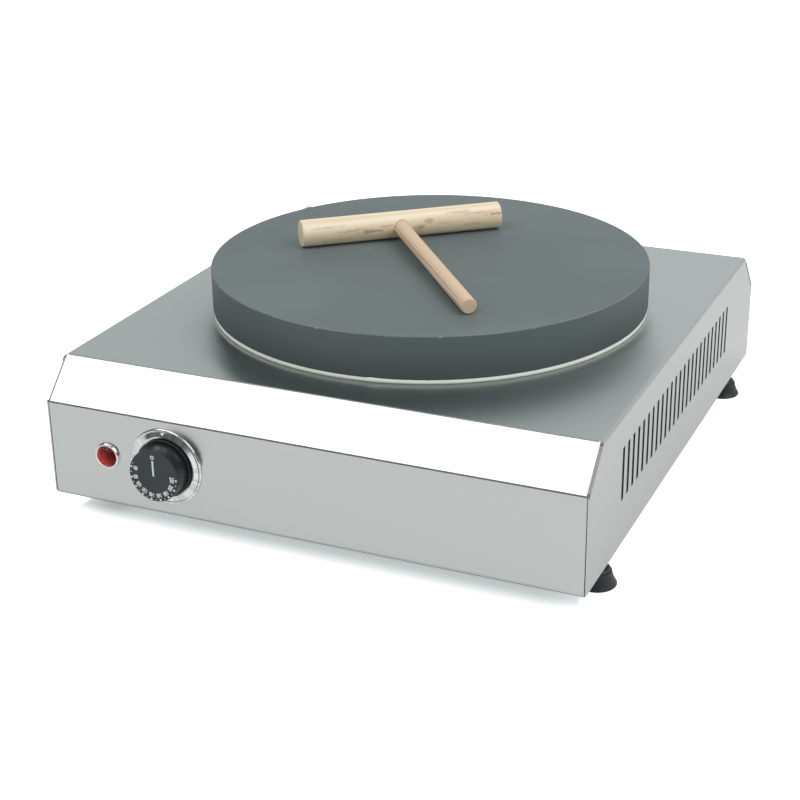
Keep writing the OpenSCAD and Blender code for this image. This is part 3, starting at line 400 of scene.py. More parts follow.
metals = {
    "plain_steel": {
        "colour": (0.30, 0.31, 0.32), "roughness": 0.45,
        "on": ["base_plate", "clamp_plate", "heat_shield_pan", "sensor_clip"]},
    "fastener_steel": {
        "colour": (0.55, 0.56, 0.58), "roughness": 0.28,
        "on": ["base_screws", "foot_screws", "foot_nuts", "anchor_studs", "anchor_spacers",
               "anchor_washers", "anchor_nuts", "clamp_studs", "clamp_nuts", "sensor_clip_screw",
               "thermostat_screws", "thermostat_spindle", "block_screws"]},
    "brass": {
        "colour": (0.58, 0.40, 0.14), "roughness": 0.30,
        "on": ["thermostat_terminals", "terminal_screws", "earth_stud", "earth_nut"]},
    "copper": {"colour": (0.55, 0.26, 0.14), "roughness": 0.34, "on": ["sensor_bulb"]},
    "element_sheath": {
        "colour": (0.11, 0.10, 0.09), "roughness": 0.55, "metallic": 0.7,
        "on": ["outer_element", "inner_element"]},
}

softer = {
    "foot_rubber": {
        "colour": (0.032, 0.037, 0.039), "roughness": 0.42,
        "on": ["foot_front_left", "foot_front_right", "foot_rear_left", "foot_rear_right",
               "cable_gland_seal"]},
    "black_plastic": {
        "colour": (0.022, 0.022, 0.024), "roughness": 0.42,
        "on": ["thermostat_body", "safety_cutout", "lamp_body", "lamp_nut", "cable_gland_body",
               "cable_gland_cap", "cable_gland_locknut"]},
    "ceramic": {
        "colour": (0.76, 0.73, 0.65), "roughness": 0.45, "on": ["element_terminals", "terminal_block"]},
    "mineral_wool": {
        "colour": (0.80, 0.78, 0.70), "roughness": 0.95, "grain": 300.0, "relief": 0.5,
        "on": ["insulation_disc"]},
    "lead_sleeve": {
        "colour": (0.78, 0.76, 0.68), "roughness": 0.85, "grain": 1200.0, "relief": 0.5,
        "on": ["supply_leads", "element_leads", "lamp_leads"]},
    "clear_glass": {
        "colour": (0.85, 0.75, 0.65), "roughness": 0.05, "grain": 500.0, "relief": 0.0,
        "clear": 0.9, "on": ["lamp_neon"]},
}


def makePlain(name, look):
    colour, roughness = look["colour"], look["roughness"]
    material, tree, shader, place = newMaterial(
        name, {"Base Color": (*colour, 1), "Metallic": look["metallic"], "Roughness": roughness,
               "Transmission Weight": look.get("clear", 0.0)})
    grain = useGroup(tree, fineGrain, {"Vector": place, "Scale": look["grain"]})
    darker = tuple(look["shade"] * part for part in colour)
    tree.links.new(blendColours(tree, grain["Tone"], darker, colour), shader.inputs["Base Color"])
    smoother, rougher = (roughness + change for change in look["spread"])
    tree.links.new(remap(tree, grain["Tone"], *noiseSpan, smoother, rougher), shader.inputs["Roughness"])
    addBump(tree, shader, grain["Height"], look["relief"], grainDepth)
    return material


for family, looks in ((plainMetal, metals), (moulded, softer)):
    for lookName, look in looks.items():
        dress(makePlain(lookName, {**family, **look}), *look["on"])
print("plain pieces dressed")


# the chrome rings round the knob and the lamp, and the knob's ring turned with a rounded lip

bezel = {
    "centre": (-0.1115, -0.234, 0.069),
    "sides": 128,
    "lip": (28.75, 0.35, 1.25, 1.1),  # middle of the rounded lip, and half its width and height
    "lipSteps": range(0, 137, 8),
    "face": [(24.3, 2.18), (23.25, 2.18), (23.25, 0.03)],  # radius and height of the dished face's end
    "foot": (30.0, 0.03),
    "pip": {"out": 26.2, "size": (2.4, 1.5), "from": 1.2, "to": 2.19},
    "softEdge": 0.00012,
    "bevelAbove": 40,
    "smoothBelow": 13,
    "dark": (0.62, 0.63, 0.63),
    "bright": (0.88, 0.89, 0.89),
    "polish": (5.0, (0.38, 0.58)),  # how fine the polishing marks are, and the part that shows
    "roughness": (0.10, 0.20),
    "grain": (900.0, 0.03, 0.0001),  # how fine, how strong and how deep
}


def makeChrome():
    material, tree, shader, place = newMaterial("bezel_chrome", {"Metallic": 1.0, "Roughness": 0.15})
    spot = calcVector(tree, "MULTIPLY", calcVector(tree, "SUBTRACT", place, bezel["centre"]), (1, 0, 1))
    fineness, shown = bezel["polish"]
    polish = noise(tree, calcVector(tree, "NORMALIZE", spot), fineness, detail=4.0, roughness=0.6)
    tone = blendColours(tree, remap(tree, polish, *shown), bezel["dark"], bezel["bright"])
    tree.links.new(tone, shader.inputs["Base Color"])
    tree.links.new(remap(tree, polish, *noiseSpan, *bezel["roughness"]), shader.inputs["Roughness"])
    fineness, *relief = bezel["grain"]
    addBump(tree, shader, noise(tree, place, fineness), *relief)
    return material


def turnRing():
    # a ring of points is drawn out along the outline, from the foot over the lip to the face
    radius, height, wide, tall = bezel["lip"]
    lip = [(radius + wide * math.cos(math.radians(a)), height + tall * math.sin(math.radians(a)))
           for a in bezel["lipSteps"]]
    last = bezel["foot"]
    bpy.ops.mesh.primitive_circle_add(
        vertices=bezel["sides"], radius=last[0] / 1000, fill_type="NOTHING")
    piece = bpy.context.object
    bpy.ops.object.mode_set(mode="EDIT")
    bpy.ops.mesh.select_all(action="SELECT")
    bpy.ops.transform.translate(value=(0, 0, last[1] / 1000))
    for point in lip + bezel["face"] + [bezel["foot"]]:
        rise, wider = (point[1] - last[1]) / 1000, point[0] / last[0]
        bpy.ops.mesh.extrude_region_move(TRANSFORM_OT_translate={"value": (0, 0, rise)})
        bpy.ops.transform.resize(value=(wider, wider, 1), center_override=(0, 0, 0))
        last = point
    bpy.ops.mesh.select_all(action="SELECT")
    bpy.ops.mesh.remove_doubles(threshold=1e-6)
    bpy.ops.mesh.normals_make_consistent(inside=False)
    bpy.ops.object.mode_set(mode="OBJECT")
    return piece


def addPip():
    pip = bezel["pip"]
    foot, tip = pip["size"]
    bpy.ops.mesh.primitive_cone_add(
        vertices=3, radius1=foot / 1000, radius2=tip / 1000,
        depth=(pip["to"] - pip["from"]) / 1000, rotation=(0, 0, math.pi),
        location=(0, pip["out"] / 1000, (pip["from"] + pip["to"]) / 2000))


def makeBezel(chrome):
    bpy.ops.object.select_all(action="DESELECT")
    piece = turnRing()
    addPip()
    bpy.context.object.select_set(True)
    piece.select_set(True)
    bpy.context.view_layer.objects.active = piece
    bpy.ops.object.join()
    edges = piece.modifiers.new("edges", "BEVEL")
    edges.width = bezel["softEdge"]
    edges.segments = 2
    edges.limit_method = "ANGLE"
    edges.angle_limit = math.radians(bezel["bevelAbove"])
    bpy.ops.object.modifier_apply(modifier="edges")
    bpy.ops.object.shade_smooth_by_angle(angle=math.radians(bezel["smoothBelow"]))
    piece.name = "bezel_ring"
    piece.rotation_euler = (math.radians(90), 0, 0)
    piece.location = bezel["centre"]
    bpy.ops.object.transform_apply(location=True, rotation=True, scale=True)
    piece.data.materials.clear()
    piece.data.materials.append(chrome)
    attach(piece, "housing")
    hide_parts("knob_bezel")


chrome = makeChrome()
dress(chrome, "lamp_ring")
makeBezel(chrome)
print("chrome rings ready")


# the cast iron plate

iron = {
    "centre": (0.0, 0.002),
    "radius": 0.175,
    "top": 0.170,
    "tone": (0.132, 0.170, 0.173),
    "pale": (0.166, 0.206, 0.207),
    "worn": (0.24, 0.27, 0.265),
    "scratch": (0.21, 0.245, 0.245),
    # the back of the top is painted lighter, a painted sheen
    "back": (0.185, 0.225, 0.225),
    "patches": ((1.0, 1.4, 1.0), 0.5, 9.0),  # drawn out, turned and how fine
    "paleFrom": (0.35, 0.68),
    "backSheenFade": (0.05, 0.17, 0.0, 0.6),
    "side": (0.50, 0.72),  # how dark the turned side is beside the top, at its foot and its edge; this is painted shade
    "sideHeight": 0.034,
    "sideMarks": 0.12,  # how much of the top's pattern the side shows
    "scratchShape": ((14, 900, 60), -0.6),  # scratches run mostly one way across the plate
    "scratchFrom": (0.62, 0.74),
    "scratchDepth": 1.2,
    "breaks": 22.0,  # how fine the gaps in the scratches and in the wear are
    "breakFrom": (0.5, 0.62),
    "edgeIn": (0.0012, 0.0005),
    "edgeDown": (0.0012, 0.0003),
    "edgeWear": (0.35, 0.65, 0.05, 0.55),
    "topDown": (0.0008, 0.0001),
    "chips": [(264.9, 1.0), (295.1, 0.7), (252.0, 0.4), (318.0, 0.4)],  # angle and strength
    "chipSize": (0.0024, 0.0008),
    "roughness": (0.46, 0.60),
    "grain": 1300.0,
    "bump": (0.12, 0.0003),
}


def wearEdge(tree, place, radius, height, broken):
    # the edge round the cooking face is worn, and chipped in a few places
    nearEdge = remap(tree, radius, *(iron["radius"] - inner for inner in iron["edgeIn"]))
    nearTop = remap(tree, height, *(iron["top"] - lower for lower in iron["edgeDown"]))
    wear = times(tree, nearEdge, nearTop, remap(tree, broken, *iron["edgeWear"]))
    for angle, strength in iron["chips"]:
        turn = math.radians(angle)
        x, y = iron["radius"] * math.cos(turn), iron["centre"][1] + iron["radius"] * math.sin(turn)
        far = calcVector(tree, "DISTANCE", place, (x, y, iron["top"]))
        wear = calc(tree, "MAXIMUM", wear, remap(tree, far, *iron["chipSize"], 0.0, strength))
    return wear


def makeIron():
    material, tree, shader, place = newMaterial(
        "griddle_iron", {"Metallic": 0.0, "Roughness": 0.5, "Specular IOR Level": 0.42})
    parts = splitVector(tree, place)
    x, y = parts["X"], calc(tree, "SUBTRACT", parts["Y"], iron["centre"][1])
    radius = calc(tree, "SQRT", calc(tree, "ADD", times(tree, x, x), times(tree, y, y)))
    *drawn, fineness = iron["patches"]
    patches = noise(tree, stretch(tree, place, *drawn), fineness, detail=5.0)
    tone = blendColours(tree, remap(tree, patches, *iron["paleFrom"]), iron["tone"], iron["pale"])
    # painted sheen: the top grows lighter towards the back
    tone = blendColours(tree, remap(tree, y, *iron["backSheenFade"]), tone, iron["back"])
    streaks = noise(tree, stretch(tree, place, *iron["scratchShape"]), 1.0)
    broken = noise(tree, place, iron["breaks"], detail=2.0)
    scratch = times(tree, remap(tree, streaks, *iron["scratchFrom"]),
                    remap(tree, broken, *iron["breakFrom"]))
    cooking = blendColours(tree, times(tree, scratch, 0.5), tone, iron["scratch"])
    # painted shade: the side is darker than the top, and darkest at its foot
    foot, edge = (tuple(level * part for part in iron["tone"]) for level in iron["side"])
    up = remap(tree, parts["Z"], iron["top"] - iron["sideHeight"], iron["top"])
    turned = blendColours(tree, iron["sideMarks"], blendColours(tree, up, foot, edge), cooking)
    isTop = remap(tree, parts["Z"], *(iron["top"] - lower for lower in iron["topDown"]))
    tone = blendColours(tree, isTop, turned, cooking)
    wear = wearEdge(tree, place, radius, parts["Z"], broken)
    tree.links.new(blendColours(tree, wear, tone, iron["worn"]), shader.inputs["Base Color"])
    tree.links.new(remap(tree, patches, *noiseSpan, *iron["roughness"]), shader.inputs["Roughness"])
    fine = noise(tree, place, iron["grain"], detail=2.0, roughness=0.7)
    height = calc(tree, "ADD", fine, times(tree, scratch, -iron["scratchDepth"]))
    addBump(tree, shader, height, *iron["bump"])
    return material


dress(makeIron(), "griddle_plate")
print("plate cast")


# the knob and the lamp's lens

knob = {
    "face": -0.2517,  # everything in front of this is the printed face
    "faceEdge": (0.0009, -0.0002),
    "faceTone": (0.044, 0.055, 0.060),
    "sideTone": (0.016, 0.019, 0.020),
    "mottle": 0.25,
    "roughness": (0.36, 0.50),  # of the side and of the face
    "grain": 2200.0,
    "relief": 0.06,
}


def makeKnobPlastic():
    material, tree, shader, place = newMaterial(
        "knob_plastic", {"Roughness": 0.34, "Specular IOR Level": 0.38})
    grain = useGroup(tree, fineGrain, {"Vector": place, "Scale": knob["grain"]})
    onFace = remap(tree, splitVector(tree, place)["Y"], *(knob["face"] + back for back in knob["faceEdge"]))
    tone = blendColours(tree, onFace, knob["sideTone"], knob["faceTone"])
    tone = blendColours(tree, times(tree, grain["Tone"], knob["mottle"]), tone, (0.0, 0.0, 0.0))
    tree.links.new(tone, shader.inputs["Base Color"])
    tree.links.new(mixValues(tree, onFace, *knob["roughness"]), shader.inputs["Roughness"])
    addBump(tree, shader, grain["Height"], knob["relief"], grainDepth)
    return material


lens = {
    "centre": (-0.1615, 0.0, 0.069),
    "deep": (0.125, 0.003, 0.004),
    "glow": (0.78, 0.040, 0.028),
    "paintedGlowWay": (-0.75, 0.0, -0.66),  # a painted glow: the lens is painted brighter low on the left, where light leaves it
    "paintedGlowSpan": (-0.005, 0.0065),
    "ripple": 420.0,
    "rippleShade": (0.3, 0.6, 0.55, 1.0),
    "facets": 18.0,
    "facetBump": (0.25, 0.0004),
    "roughness": (0.14, 0.24),
}


def makeLensPlastic():
    material, tree, shader, place = newMaterial("lens_red", {"Roughness": 0.18, "Specular IOR Level": 0.22})
    spot = calcVector(tree, "SUBTRACT", place, lens["centre"])
    parts = splitVector(tree, spot)
    angle = calc(tree, "ARCTAN2", parts["Z"], parts["X"])
    facet = calc(tree, "SINE", times(tree, angle, lens["facets"]))
    wavy = noise(tree, place, lens["ripple"], detail=2.0)
    # painted glow, brighter low on the left and broken up by the ripple
    lit = remap(tree, calcVector(tree, "DOT_PRODUCT", spot, lens["paintedGlowWay"]), *lens["paintedGlowSpan"])
    lit = times(tree, lit, remap(tree, wavy, *lens["rippleShade"]))
    tree.links.new(blendColours(tree, lit, lens["deep"], lens["glow"]), shader.inputs["Base Color"])
    tree.links.new(remap(tree, wavy, *noiseSpan, *lens["roughness"]), shader.inputs["Roughness"])
    addBump(tree, shader, facet, *lens["facetBump"])
    return material


dress(makeKnobPlastic(), "control_knob")
dress(makeLensPlastic(), "lamp_lens")
print("knob and lens dressed")


# the woven gasket under the plate's rim

gasket = {
    "centre": (0.0, 0.002),
    "radius": 0.1692,
    "thick": (0.0058, 0.00192),  # half its width and half its height
    "level": 0.13472,
    "around": 720,
    "section": 14,
    "squareness": 0.30,
    "splice": {"at": 278.4, "reach": 2.5, "fuller": 0.40, "thinner": 0.25, "out": 0.00045},
    "lumps": {"size": 0.0022, "height": 0.00030, "middle": 0.6},
    "strands": (520.0, 9.0),  # round the ring and round its section
    "strandHeight": 0.5,
    "strandShade": (0.1, 0.9, 0.35, 1.0),
    "fuzz": 1500.0,
    "patches": 60.0,
    "patchShade": (0.25, 0.6, 0.7, 1.0),
    "tone": (0.90, 0.92, 0.82),
    "pale": (1.0, 1.0, 0.95),
    # painted shade on the gasket's lower part, below these heights
    "lowerShade": (0.58, 0.58, 0.50),
    "lowerShadeBelow": (0.1341, 0.1334),
    "roughness": (0.88, 1.0),
    "bump": (0.4, 0.0004),
}


def squareOff(distance, half):
    share = min(max(distance / half, -1), 1)
    return math.copysign(abs(share) ** gasket["squareness"], share) * half


def shapeGasket(piece):
    splice = gasket["splice"]
    halfWidth, halfHeight = gasket["thick"]
    middle = Vector((*gasket["centre"], gasket["level"]))
    for vertex in piece.data.vertices:
        flat = Vector((vertex.co.x - middle.x, vertex.co.y - middle.y))
        past = (math.degrees(math.atan2(flat.y, flat.x)) % 360 - splice["at"]) % 360
        # the strip starts a little fuller at its splice and thins towards its other end
        started = math.exp(-past / splice["reach"])
        ending = math.exp((past - 360) / splice["reach"])
        out = squareOff(flat.length - gasket["radius"], halfWidth)
        up = squareOff(vertex.co.z - middle.z, halfHeight)
        if up > 0:
            up *= 1.0 + splice["fuller"] * started - splice["thinner"] * ending
        flat *= (gasket["radius"] + out + splice["out"] * started) / flat.length
        vertex.co.x, vertex.co.y, vertex.co.z = middle.x + flat.x, middle.y + flat.y, middle.z + up
    piece.data.update()


def makeGasketWeave():
    material, tree, shader, place = newMaterial("gasket_weave", {"Roughness": 0.95, "Sheen Weight": 0.3})
    uv = splitVector(tree, tree.nodes.new("ShaderNodeTexCoord").outputs["UV"])
    around, across = gasket["strands"]
    u, v = times(tree, uv["X"], around), times(tree, uv["Y"], across)
    leaning, crossing = (calc(tree, "SINE", times(tree, calc(tree, way, u, v), 2 * math.pi))
                         for way in ("ADD", "SUBTRACT"))
    weave = times(tree, calc(tree, "ADD", leaning, crossing), 0.5)
    fuzz = noise(tree, place, gasket["fuzz"], roughness=0.7)
    patch = noise(tree, place, gasket["patches"])
    height = calc(tree, "ADD", times(tree, weave, gasket["strandHeight"]), fuzz)
    amount = times(tree, remap(tree, height, *gasket["strandShade"]),
                   remap(tree, patch, *gasket["patchShade"]))
    tone = blendColours(tree, amount, gasket["tone"], gasket["pale"])
    # the lower part of the gasket is painted darker as shade
    low = remap(tree, splitVector(tree, place)["Z"], *gasket["lowerShadeBelow"])
    tree.links.new(blendColours(tree, low, tone, gasket["lowerShade"]), shader.inputs["Base Color"])
    tree.links.new(remap(tree, fuzz, *noiseSpan, *gasket["roughness"]), shader.inputs["Roughness"])
    addBump(tree, shader, height, *gasket["bump"])
    return material


def makeGasket():
    bpy.ops.object.select_all(action="DESELECT")
    halfWidth, halfHeight = gasket["thick"]
    middle = (*gasket["centre"], gasket["level"])
    bpy.ops.mesh.primitive_torus_add(
        major_radius=gasket["radius"], minor_radius=halfWidth, major_segments=gasket["around"],
        minor_segments=gasket["section"], location=middle)
    piece = bpy.context.object
    piece.name = "gasket_ring"
    bpy.ops.object.mode_set(mode="EDIT")
    bpy.ops.mesh.select_all(action="SELECT")
    bpy.ops.transform.resize(value=(1, 1, halfHeight / halfWidth), center_override=middle)
    bpy.ops.object.mode_set(mode="OBJECT")
    bpy.ops.object.transform_apply(location=True, rotation=True, scale=True)
    shapeGasket(piece)
    texture = bpy.data.textures.new("fibre_lumps", "CLOUDS")
    texture.noise_scale = gasket["lumps"]["size"]
    lumps = piece.modifiers.new("lumps", "DISPLACE")
    lumps.texture = texture
    lumps.texture_coords = "LOCAL"
    lumps.strength = gasket["lumps"]["height"]
    lumps.mid_level = gasket["lumps"]["middle"]
    bpy.ops.object.modifier_apply(modifier="lumps")
    bpy.ops.object.shade_smooth()
    piece.data.materials.append(makeGasketWeave())
    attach(piece, "housing")
    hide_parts("rim_gasket")


makeGasket()
print("gasket woven")


# the wooden spreader

wood = {
    "turn": 39.3,  # of the bar, from straight across
    "barCentre": (-0.0425, 0.0415, 0.1813),
    "bar": {"tone": (0.88, 0.73, 0.52), "pale": (0.99, 0.88, 0.68), "fleck": (0.36, 0.22, 0.11),
            "rings": 900.0, "flecks": 0.75, "wander": 0.012},
    "handle": {"tone": (0.66, 0.47, 0.31), "pale": (0.90, 0.72, 0.53), "fleck": (0.40, 0.25, 0.15),
               "rings": 5200.0, "flecks": 0.2, "wander": 0.0035},
    "fleckStrength": 0.3,
    # place along the bar, height on it, half length and half height in mm, and strength
    "streaks": [(-28, -0.5, 9, 1.2, 0.65), (-43, 1.6, 10, 0.9, 0.4), (-66, 6.0, 12, 0.6, 0.3),
                (-16, 2.5, 5, 1.0, 0.35), (13, -0.4, 4, 1.8, 0.5), (79, 4.4, 7, 0.7, 0.7),
                (64, 6.2, 10, 0.7, 0.35), (48, 8.0, 9, 0.9, 0.35), (36, 1.0, 8, 0.8, 0.25),
                (58, -2.0, 9, 0.9, 0.3), (-60, -5.0, 9, 0.8, 0.2)],
    "markEdge": (1.5, 0.5),  # a mark fades out between these shares of its size
    "ragged": ((0.25, 1, 1), 900.0, 5.0),  # drawn out, how fine and how strong
    "knot": (21, 3.6, 4.5, 1.9, 0.55),
    "knotRagged": 0.4,  # share of the streaks' raggedness
    "knotTone": (0.42, 0.36, 0.15),
    "hole": (-2.2, 0.0069, 0.0064, 0.0, 0.65),  # painted shadow round the handle's root: mm along the bar, then the line's radii and strength
    "holeShadowSide": (0.001, -0.001),
    "endTone": (1.0, 0.90, 0.58),
    "endFrom": (0.0846, 0.0849),
    "endCover": 0.9,
    "endRadius": (0.0108, 0.0085, 0.0, 0.2),  # the darker middle inside a pale rim
    "roughness": (0.55, 0.7),
    "bump": (0.15, 0.0003),
}


def placeMark(tree, parts, wobble, mark):
    along, up, halfLength, halfHeight, strength = mark
    across = calc(tree, "DIVIDE", calc(tree, "SUBTRACT", parts["X"], along / 1000), halfLength / 1000)
    rise = calc(tree, "DIVIDE", calc(tree, "SUBTRACT", parts["Z"], up / 1000), halfHeight / 1000)
    far = calc(tree, "SQRT", calc(tree, "ADD", times(tree, across, across), times(tree, rise, rise)))
    return remap(tree, calc(tree, "ADD", far, wobble), *wood["markEdge"], 0.0, strength)


def markBar(tree, place, turn, body, fleck):
    # streaks, a knot, a painted shadow line round the handle's hole, and the sawn ends
    local = stretch(tree, calcVector(tree, "SUBTRACT", place, wood["barCentre"]), (1, 1, 1), turn)
    parts = splitVector(tree, local)
    drawn, fineness, strength = wood["ragged"]
    ragged = noise(tree, stretch(tree, local, drawn), fineness, roughness=0.7)
    wobble = times(tree, calc(tree, "SUBTRACT", ragged, 0.5), strength)
    for streak in wood["streaks"]:
        body = blendColours(tree, placeMark(tree, parts, wobble, streak), body, fleck)
    soft = times(tree, wobble, wood["knotRagged"])
    body = blendColours(tree, placeMark(tree, parts, soft, wood["knot"]), body, wood["knotTone"])
    # a painted shadow round the handle's root, on one side of the bar
    holeAt, *reach = wood["hole"]
    fromHole = calcVector(tree, "SUBTRACT", local, (holeAt / 1000, 0, 0))
    off = calcVector(tree, "LENGTH", calcVector(tree, "MULTIPLY", fromHole, (1, 0, 1)))
    ring = times(tree, remap(tree, off, *reach), remap(tree, parts["Y"], *wood["holeShadowSide"]))
    body = blendColours(tree, ring, body, fleck)
    onEnd = remap(tree, calc(tree, "ABSOLUTE", parts["X"]), *wood["endFrom"])
    body = blendColours(tree, times(tree, onEnd, wood["endCover"]), body, wood["endTone"])
    out = calcVector(tree, "LENGTH", calcVector(tree, "MULTIPLY", local, (0, 1, 1)))
    return blendColours(tree, times(tree, onEnd, remap(tree, out, *wood["endRadius"])), body, fleck)


def makeWoodFinish(name, look, turn, marked=False):
    material, tree, shader, place = newMaterial(name, {"Roughness": 0.62, "Specular IOR Level": 0.3})
    along = stretch(tree, place, (1, 1, 1), turn)
    grain = useGroup(tree, woodGrain, {"Vector": along, "Rings": look["rings"],
                                       "Flecks": look["flecks"], "Wander": look["wander"]})
    body = blendColours(tree, grain["Line"], look["tone"], look["pale"])
    body = blendColours(tree, times(tree, grain["Fleck"], wood["fleckStrength"]), body, look["fleck"])
    if marked:
        body = markBar(tree, place, turn, body, look["fleck"])
    tree.links.new(body, shader.inputs["Base Color"])
    tree.links.new(remap(tree, grain["Pore"], *noiseSpan, *wood["roughness"]), shader.inputs["Roughness"])
    addBump(tree, shader, grain["Pore"], *wood["bump"])
    return material


barTurn, handleTurn = math.radians(-wood["turn"]), math.radians(90 - wood["turn"])
dress(makeWoodFinish("bar_wood", wood["bar"], barTurn, marked=True), "spreader_bar")
dress(makeWoodFinish("handle_wood", wood["handle"], handleTurn), "spreader_handle")
print("spreader dressed")


# numbers and marks on the knob's face

dial = {
    "centre": (-0.1115, 0.069),
    "face": -0.252,
    "proud": 0.00005,
    "bolder": 0.00015,
    "numbers": [(74.5, "60"), (100.6, "80"), (124.2, "100"), (147.5, "120"), (170.6, "140"),
                (194.3, "160"), (218.5, "180"), (243.4, "200"), (268.8, "250")],
    "numberRadius": 0.0152,
    "numberSize": 0.0047,
    "numberWidth": 0.66,
    "dotRadius": 0.0188,
    "dotSize": 0.00085,
    "smallDot": 0.00042,
    "firstSmall": 64.4,
    "zeroRadius": 0.0150,
    "zeroSize": 0.00155,
    "zeroHole": 0.55,  # share of its size
    "line": (0.0, 0.0123, 0.0014),  # start, end and width
    "sides": {"dot": 20, "smallDot": 14, "zero": 40},
    "print": ((0.76, 0.83, 0.86), (0.90, 0.96, 0.98)),
    "grain": 3000.0,
}


def onDial(angle, radius):
    turn = math.radians(angle)
    return Vector((dial["centre"][0] - radius * math.sin(turn), dial["face"],
                   dial["centre"][1] + radius * math.cos(turn)))


def faceDial(piece, angle, radius):
    spin = Matrix.Rotation(math.radians(angle), 4, Vector((0, -1, 0)))
    stand = Matrix.Rotation(math.radians(90), 4, "X")
    piece.matrix_world = Matrix.Translation(onDial(angle, radius)) @ spin @ stand


def addPatch(sides, radius, angle, place, hole=0.0):
    bpy.ops.object.select_all(action="DESELECT")
    bpy.ops.mesh.primitive_circle_add(vertices=sides, radius=radius, fill_type="NGON")
    piece = bpy.context.object
    bpy.ops.object.mode_set(mode="EDIT")
    bpy.ops.mesh.select_all(action="SELECT")
    if hole:
        bpy.ops.mesh.inset(thickness=radius - hole)
        bpy.ops.mesh.delete(type="FACE")
        bpy.ops.mesh.select_all(action="SELECT")
    bpy.ops.mesh.extrude_region_move(TRANSFORM_OT_translate={"value": (0, 0, dial["proud"])})
    bpy.ops.mesh.select_all(action="SELECT")
    bpy.ops.mesh.normals_make_consistent(inside=False)
    bpy.ops.object.mode_set(mode="OBJECT")
    faceDial(piece, angle, place)
    return piece


def addNumber(text, angle):
    bpy.ops.object.text_add(location=(0, 0, 0))
    piece = bpy.context.object
    piece.data.body = text
    piece.data.size = dial["numberSize"]
    piece.data.align_x = "CENTER"
    piece.data.align_y = "CENTER"
    piece.data.extrude = dial["proud"]
    piece.data.offset = dial["bolder"]
    bpy.ops.object.convert(target="MESH")
    bpy.ops.transform.resize(value=(dial["numberWidth"], 1, 1), center_override=(0, 0, 0))
    bpy.ops.object.transform_apply(location=True, rotation=True, scale=True)
    faceDial(piece, angle, dial["numberRadius"])
    return piece


def addLine():
    # a patch of four sides stands on its corner, so its corners are set as a long strip
    start, end, width = dial["line"]
    bar = addPatch(4, width * math.sqrt(0.5), 0, (start + end) / 2)
    for vertex in bar.data.vertices:
        onAxis = [abs(vertex.co[axis]) < 1e-7 for axis in (0, 1)]
        right = vertex.co.x > 0.0 or (onAxis[0] and vertex.co.y > 0)
        upper = vertex.co.y > 0.0 or (onAxis[1] and vertex.co.x < 0)
        vertex.co.x = (width if right else -width) / 2
        vertex.co.y = (end - start if upper else start - end) / 2
    return bar


def makeDialMarks():
    pieces = [addNumber(text, angle) for angle, text in dial["numbers"]]
    angles = [angle for angle, text in dial["numbers"]]
    between = [dial["firstSmall"]] + [(a + b) / 2 for a, b in zip(angles, angles[1:])]
    sides, hole = dial["sides"], dial["zeroSize"] * dial["zeroHole"]
    pieces += [addPatch(sides["dot"], dial["dotSize"], angle, dial["dotRadius"]) for angle in angles]
    pieces += [addPatch(sides["smallDot"], dial["smallDot"], angle, dial["dotRadius"]) for angle in between]
    pieces.append(addPatch(sides["zero"], dial["zeroSize"], 0, dial["zeroRadius"], hole))
    pieces.append(addLine())
    for piece in pieces:
        piece.select_set(True)
    bpy.context.view_layer.objects.active = pieces[0]
    bpy.ops.object.join()
    marks = bpy.context.object
    bpy.ops.object.transform_apply(location=True, rotation=True, scale=True)
    marks.name = "dial_marks"
    material, tree, shader, place = newMaterial("dial_print", {"Roughness": 0.5})
    grain = useGroup(tree, fineGrain, {"Vector": place, "Scale": dial["grain"]})
    tree.links.new(blendColours(tree, grain["Height"], *dial["print"]), shader.inputs["Base Color"])
    marks.data.materials.clear()
    marks.data.materials.append(material)
    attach(marks, "dial")


makeDialMarks()
print("dial marked")


# floor, backdrop and lights

studio = {
    "floorSize": 14.0,
    "floorColour": (0.80, 0.81, 0.81),
    "floorGlow": (0.05, 0.49, 0.97),  # seen by the camera: under the housing, near its edge and beyond
    "shadowReach": (-0.066, -0.045, -0.020),
    "shadowSides": (-0.2155, 0.194),
    "sideFade": (3.0, 0.035),
    "shadowEnd": (-0.160, -0.205, 1.0, 0.48),  # the lamps light the shadow's left end more
    "shadowTint": (0.90, 1.0, 0.975),
    "floorMirror": 0.13,  # seen in reflections only
    "poolEdge": (0.55, 1.0),  # reflections show the floor dark beyond this distance in front
    "beyondPool": (0.10, 0.10, 0.10),
    "ambient": (0.32, 0.53),  # at the horizon and overhead
    "mirrored": {"front": 0.13, "back": 0.68, "above": 0.42},
    "turnToBack": (-0.5, 0.5),
    "turnAbove": (0.45, 0.75),
    "lamps": {
        "front_panel": {"place": (-0.88, -1.05, 1.82), "size": (2.0, 0.95), "power": 16.0, "aim": None},
        "right_panel": {"place": (1.5, -0.2, 1.7), "size": (1.5, 1.5), "power": 19.0, "aim": (0, 0, 0.1)},
    },
}


def seenByLens(tree):
    rays = tree.nodes.new("ShaderNodeLightPath").outputs
    mirrored = calc(tree, "MAXIMUM", rays["Is Glossy Ray"], rays["Is Transmission Ray"])
    return rays["Is Camera Ray"], mirrored


def shadeFloor(tree, parts):
    # the glow is weak under the housing and full beyond its edge
    left, right = studio["shadowSides"]
    gain, back = studio["sideFade"]
    aside = calc(tree, "MAXIMUM", calc(tree, "SUBTRACT", left, parts["X"]),
                 calc(tree, "SUBTRACT", parts["X"], right))
    aside = calc(tree, "SUBTRACT", times(tree, aside, gain), back)
    ahead = calc(tree, "SUBTRACT", calc(tree, "ABSOLUTE", parts["Y"]), steel["half"][1])
    clearOf = calc(tree, "MAXIMUM", aside, ahead)
    deep, near, far = studio["shadowReach"]
    under, edge, beyond = studio["floorGlow"]
    strip = times(tree, remap(tree, clearOf, deep, near, under, edge),
                  remap(tree, parts["X"], *studio["shadowEnd"]))
    outside = remap(tree, clearOf, near, far)
    tint = blendColours(tree, outside, studio["shadowTint"], (1.0, 1.0, 1.0))
    return mixValues(tree, outside, strip, beyond), tint


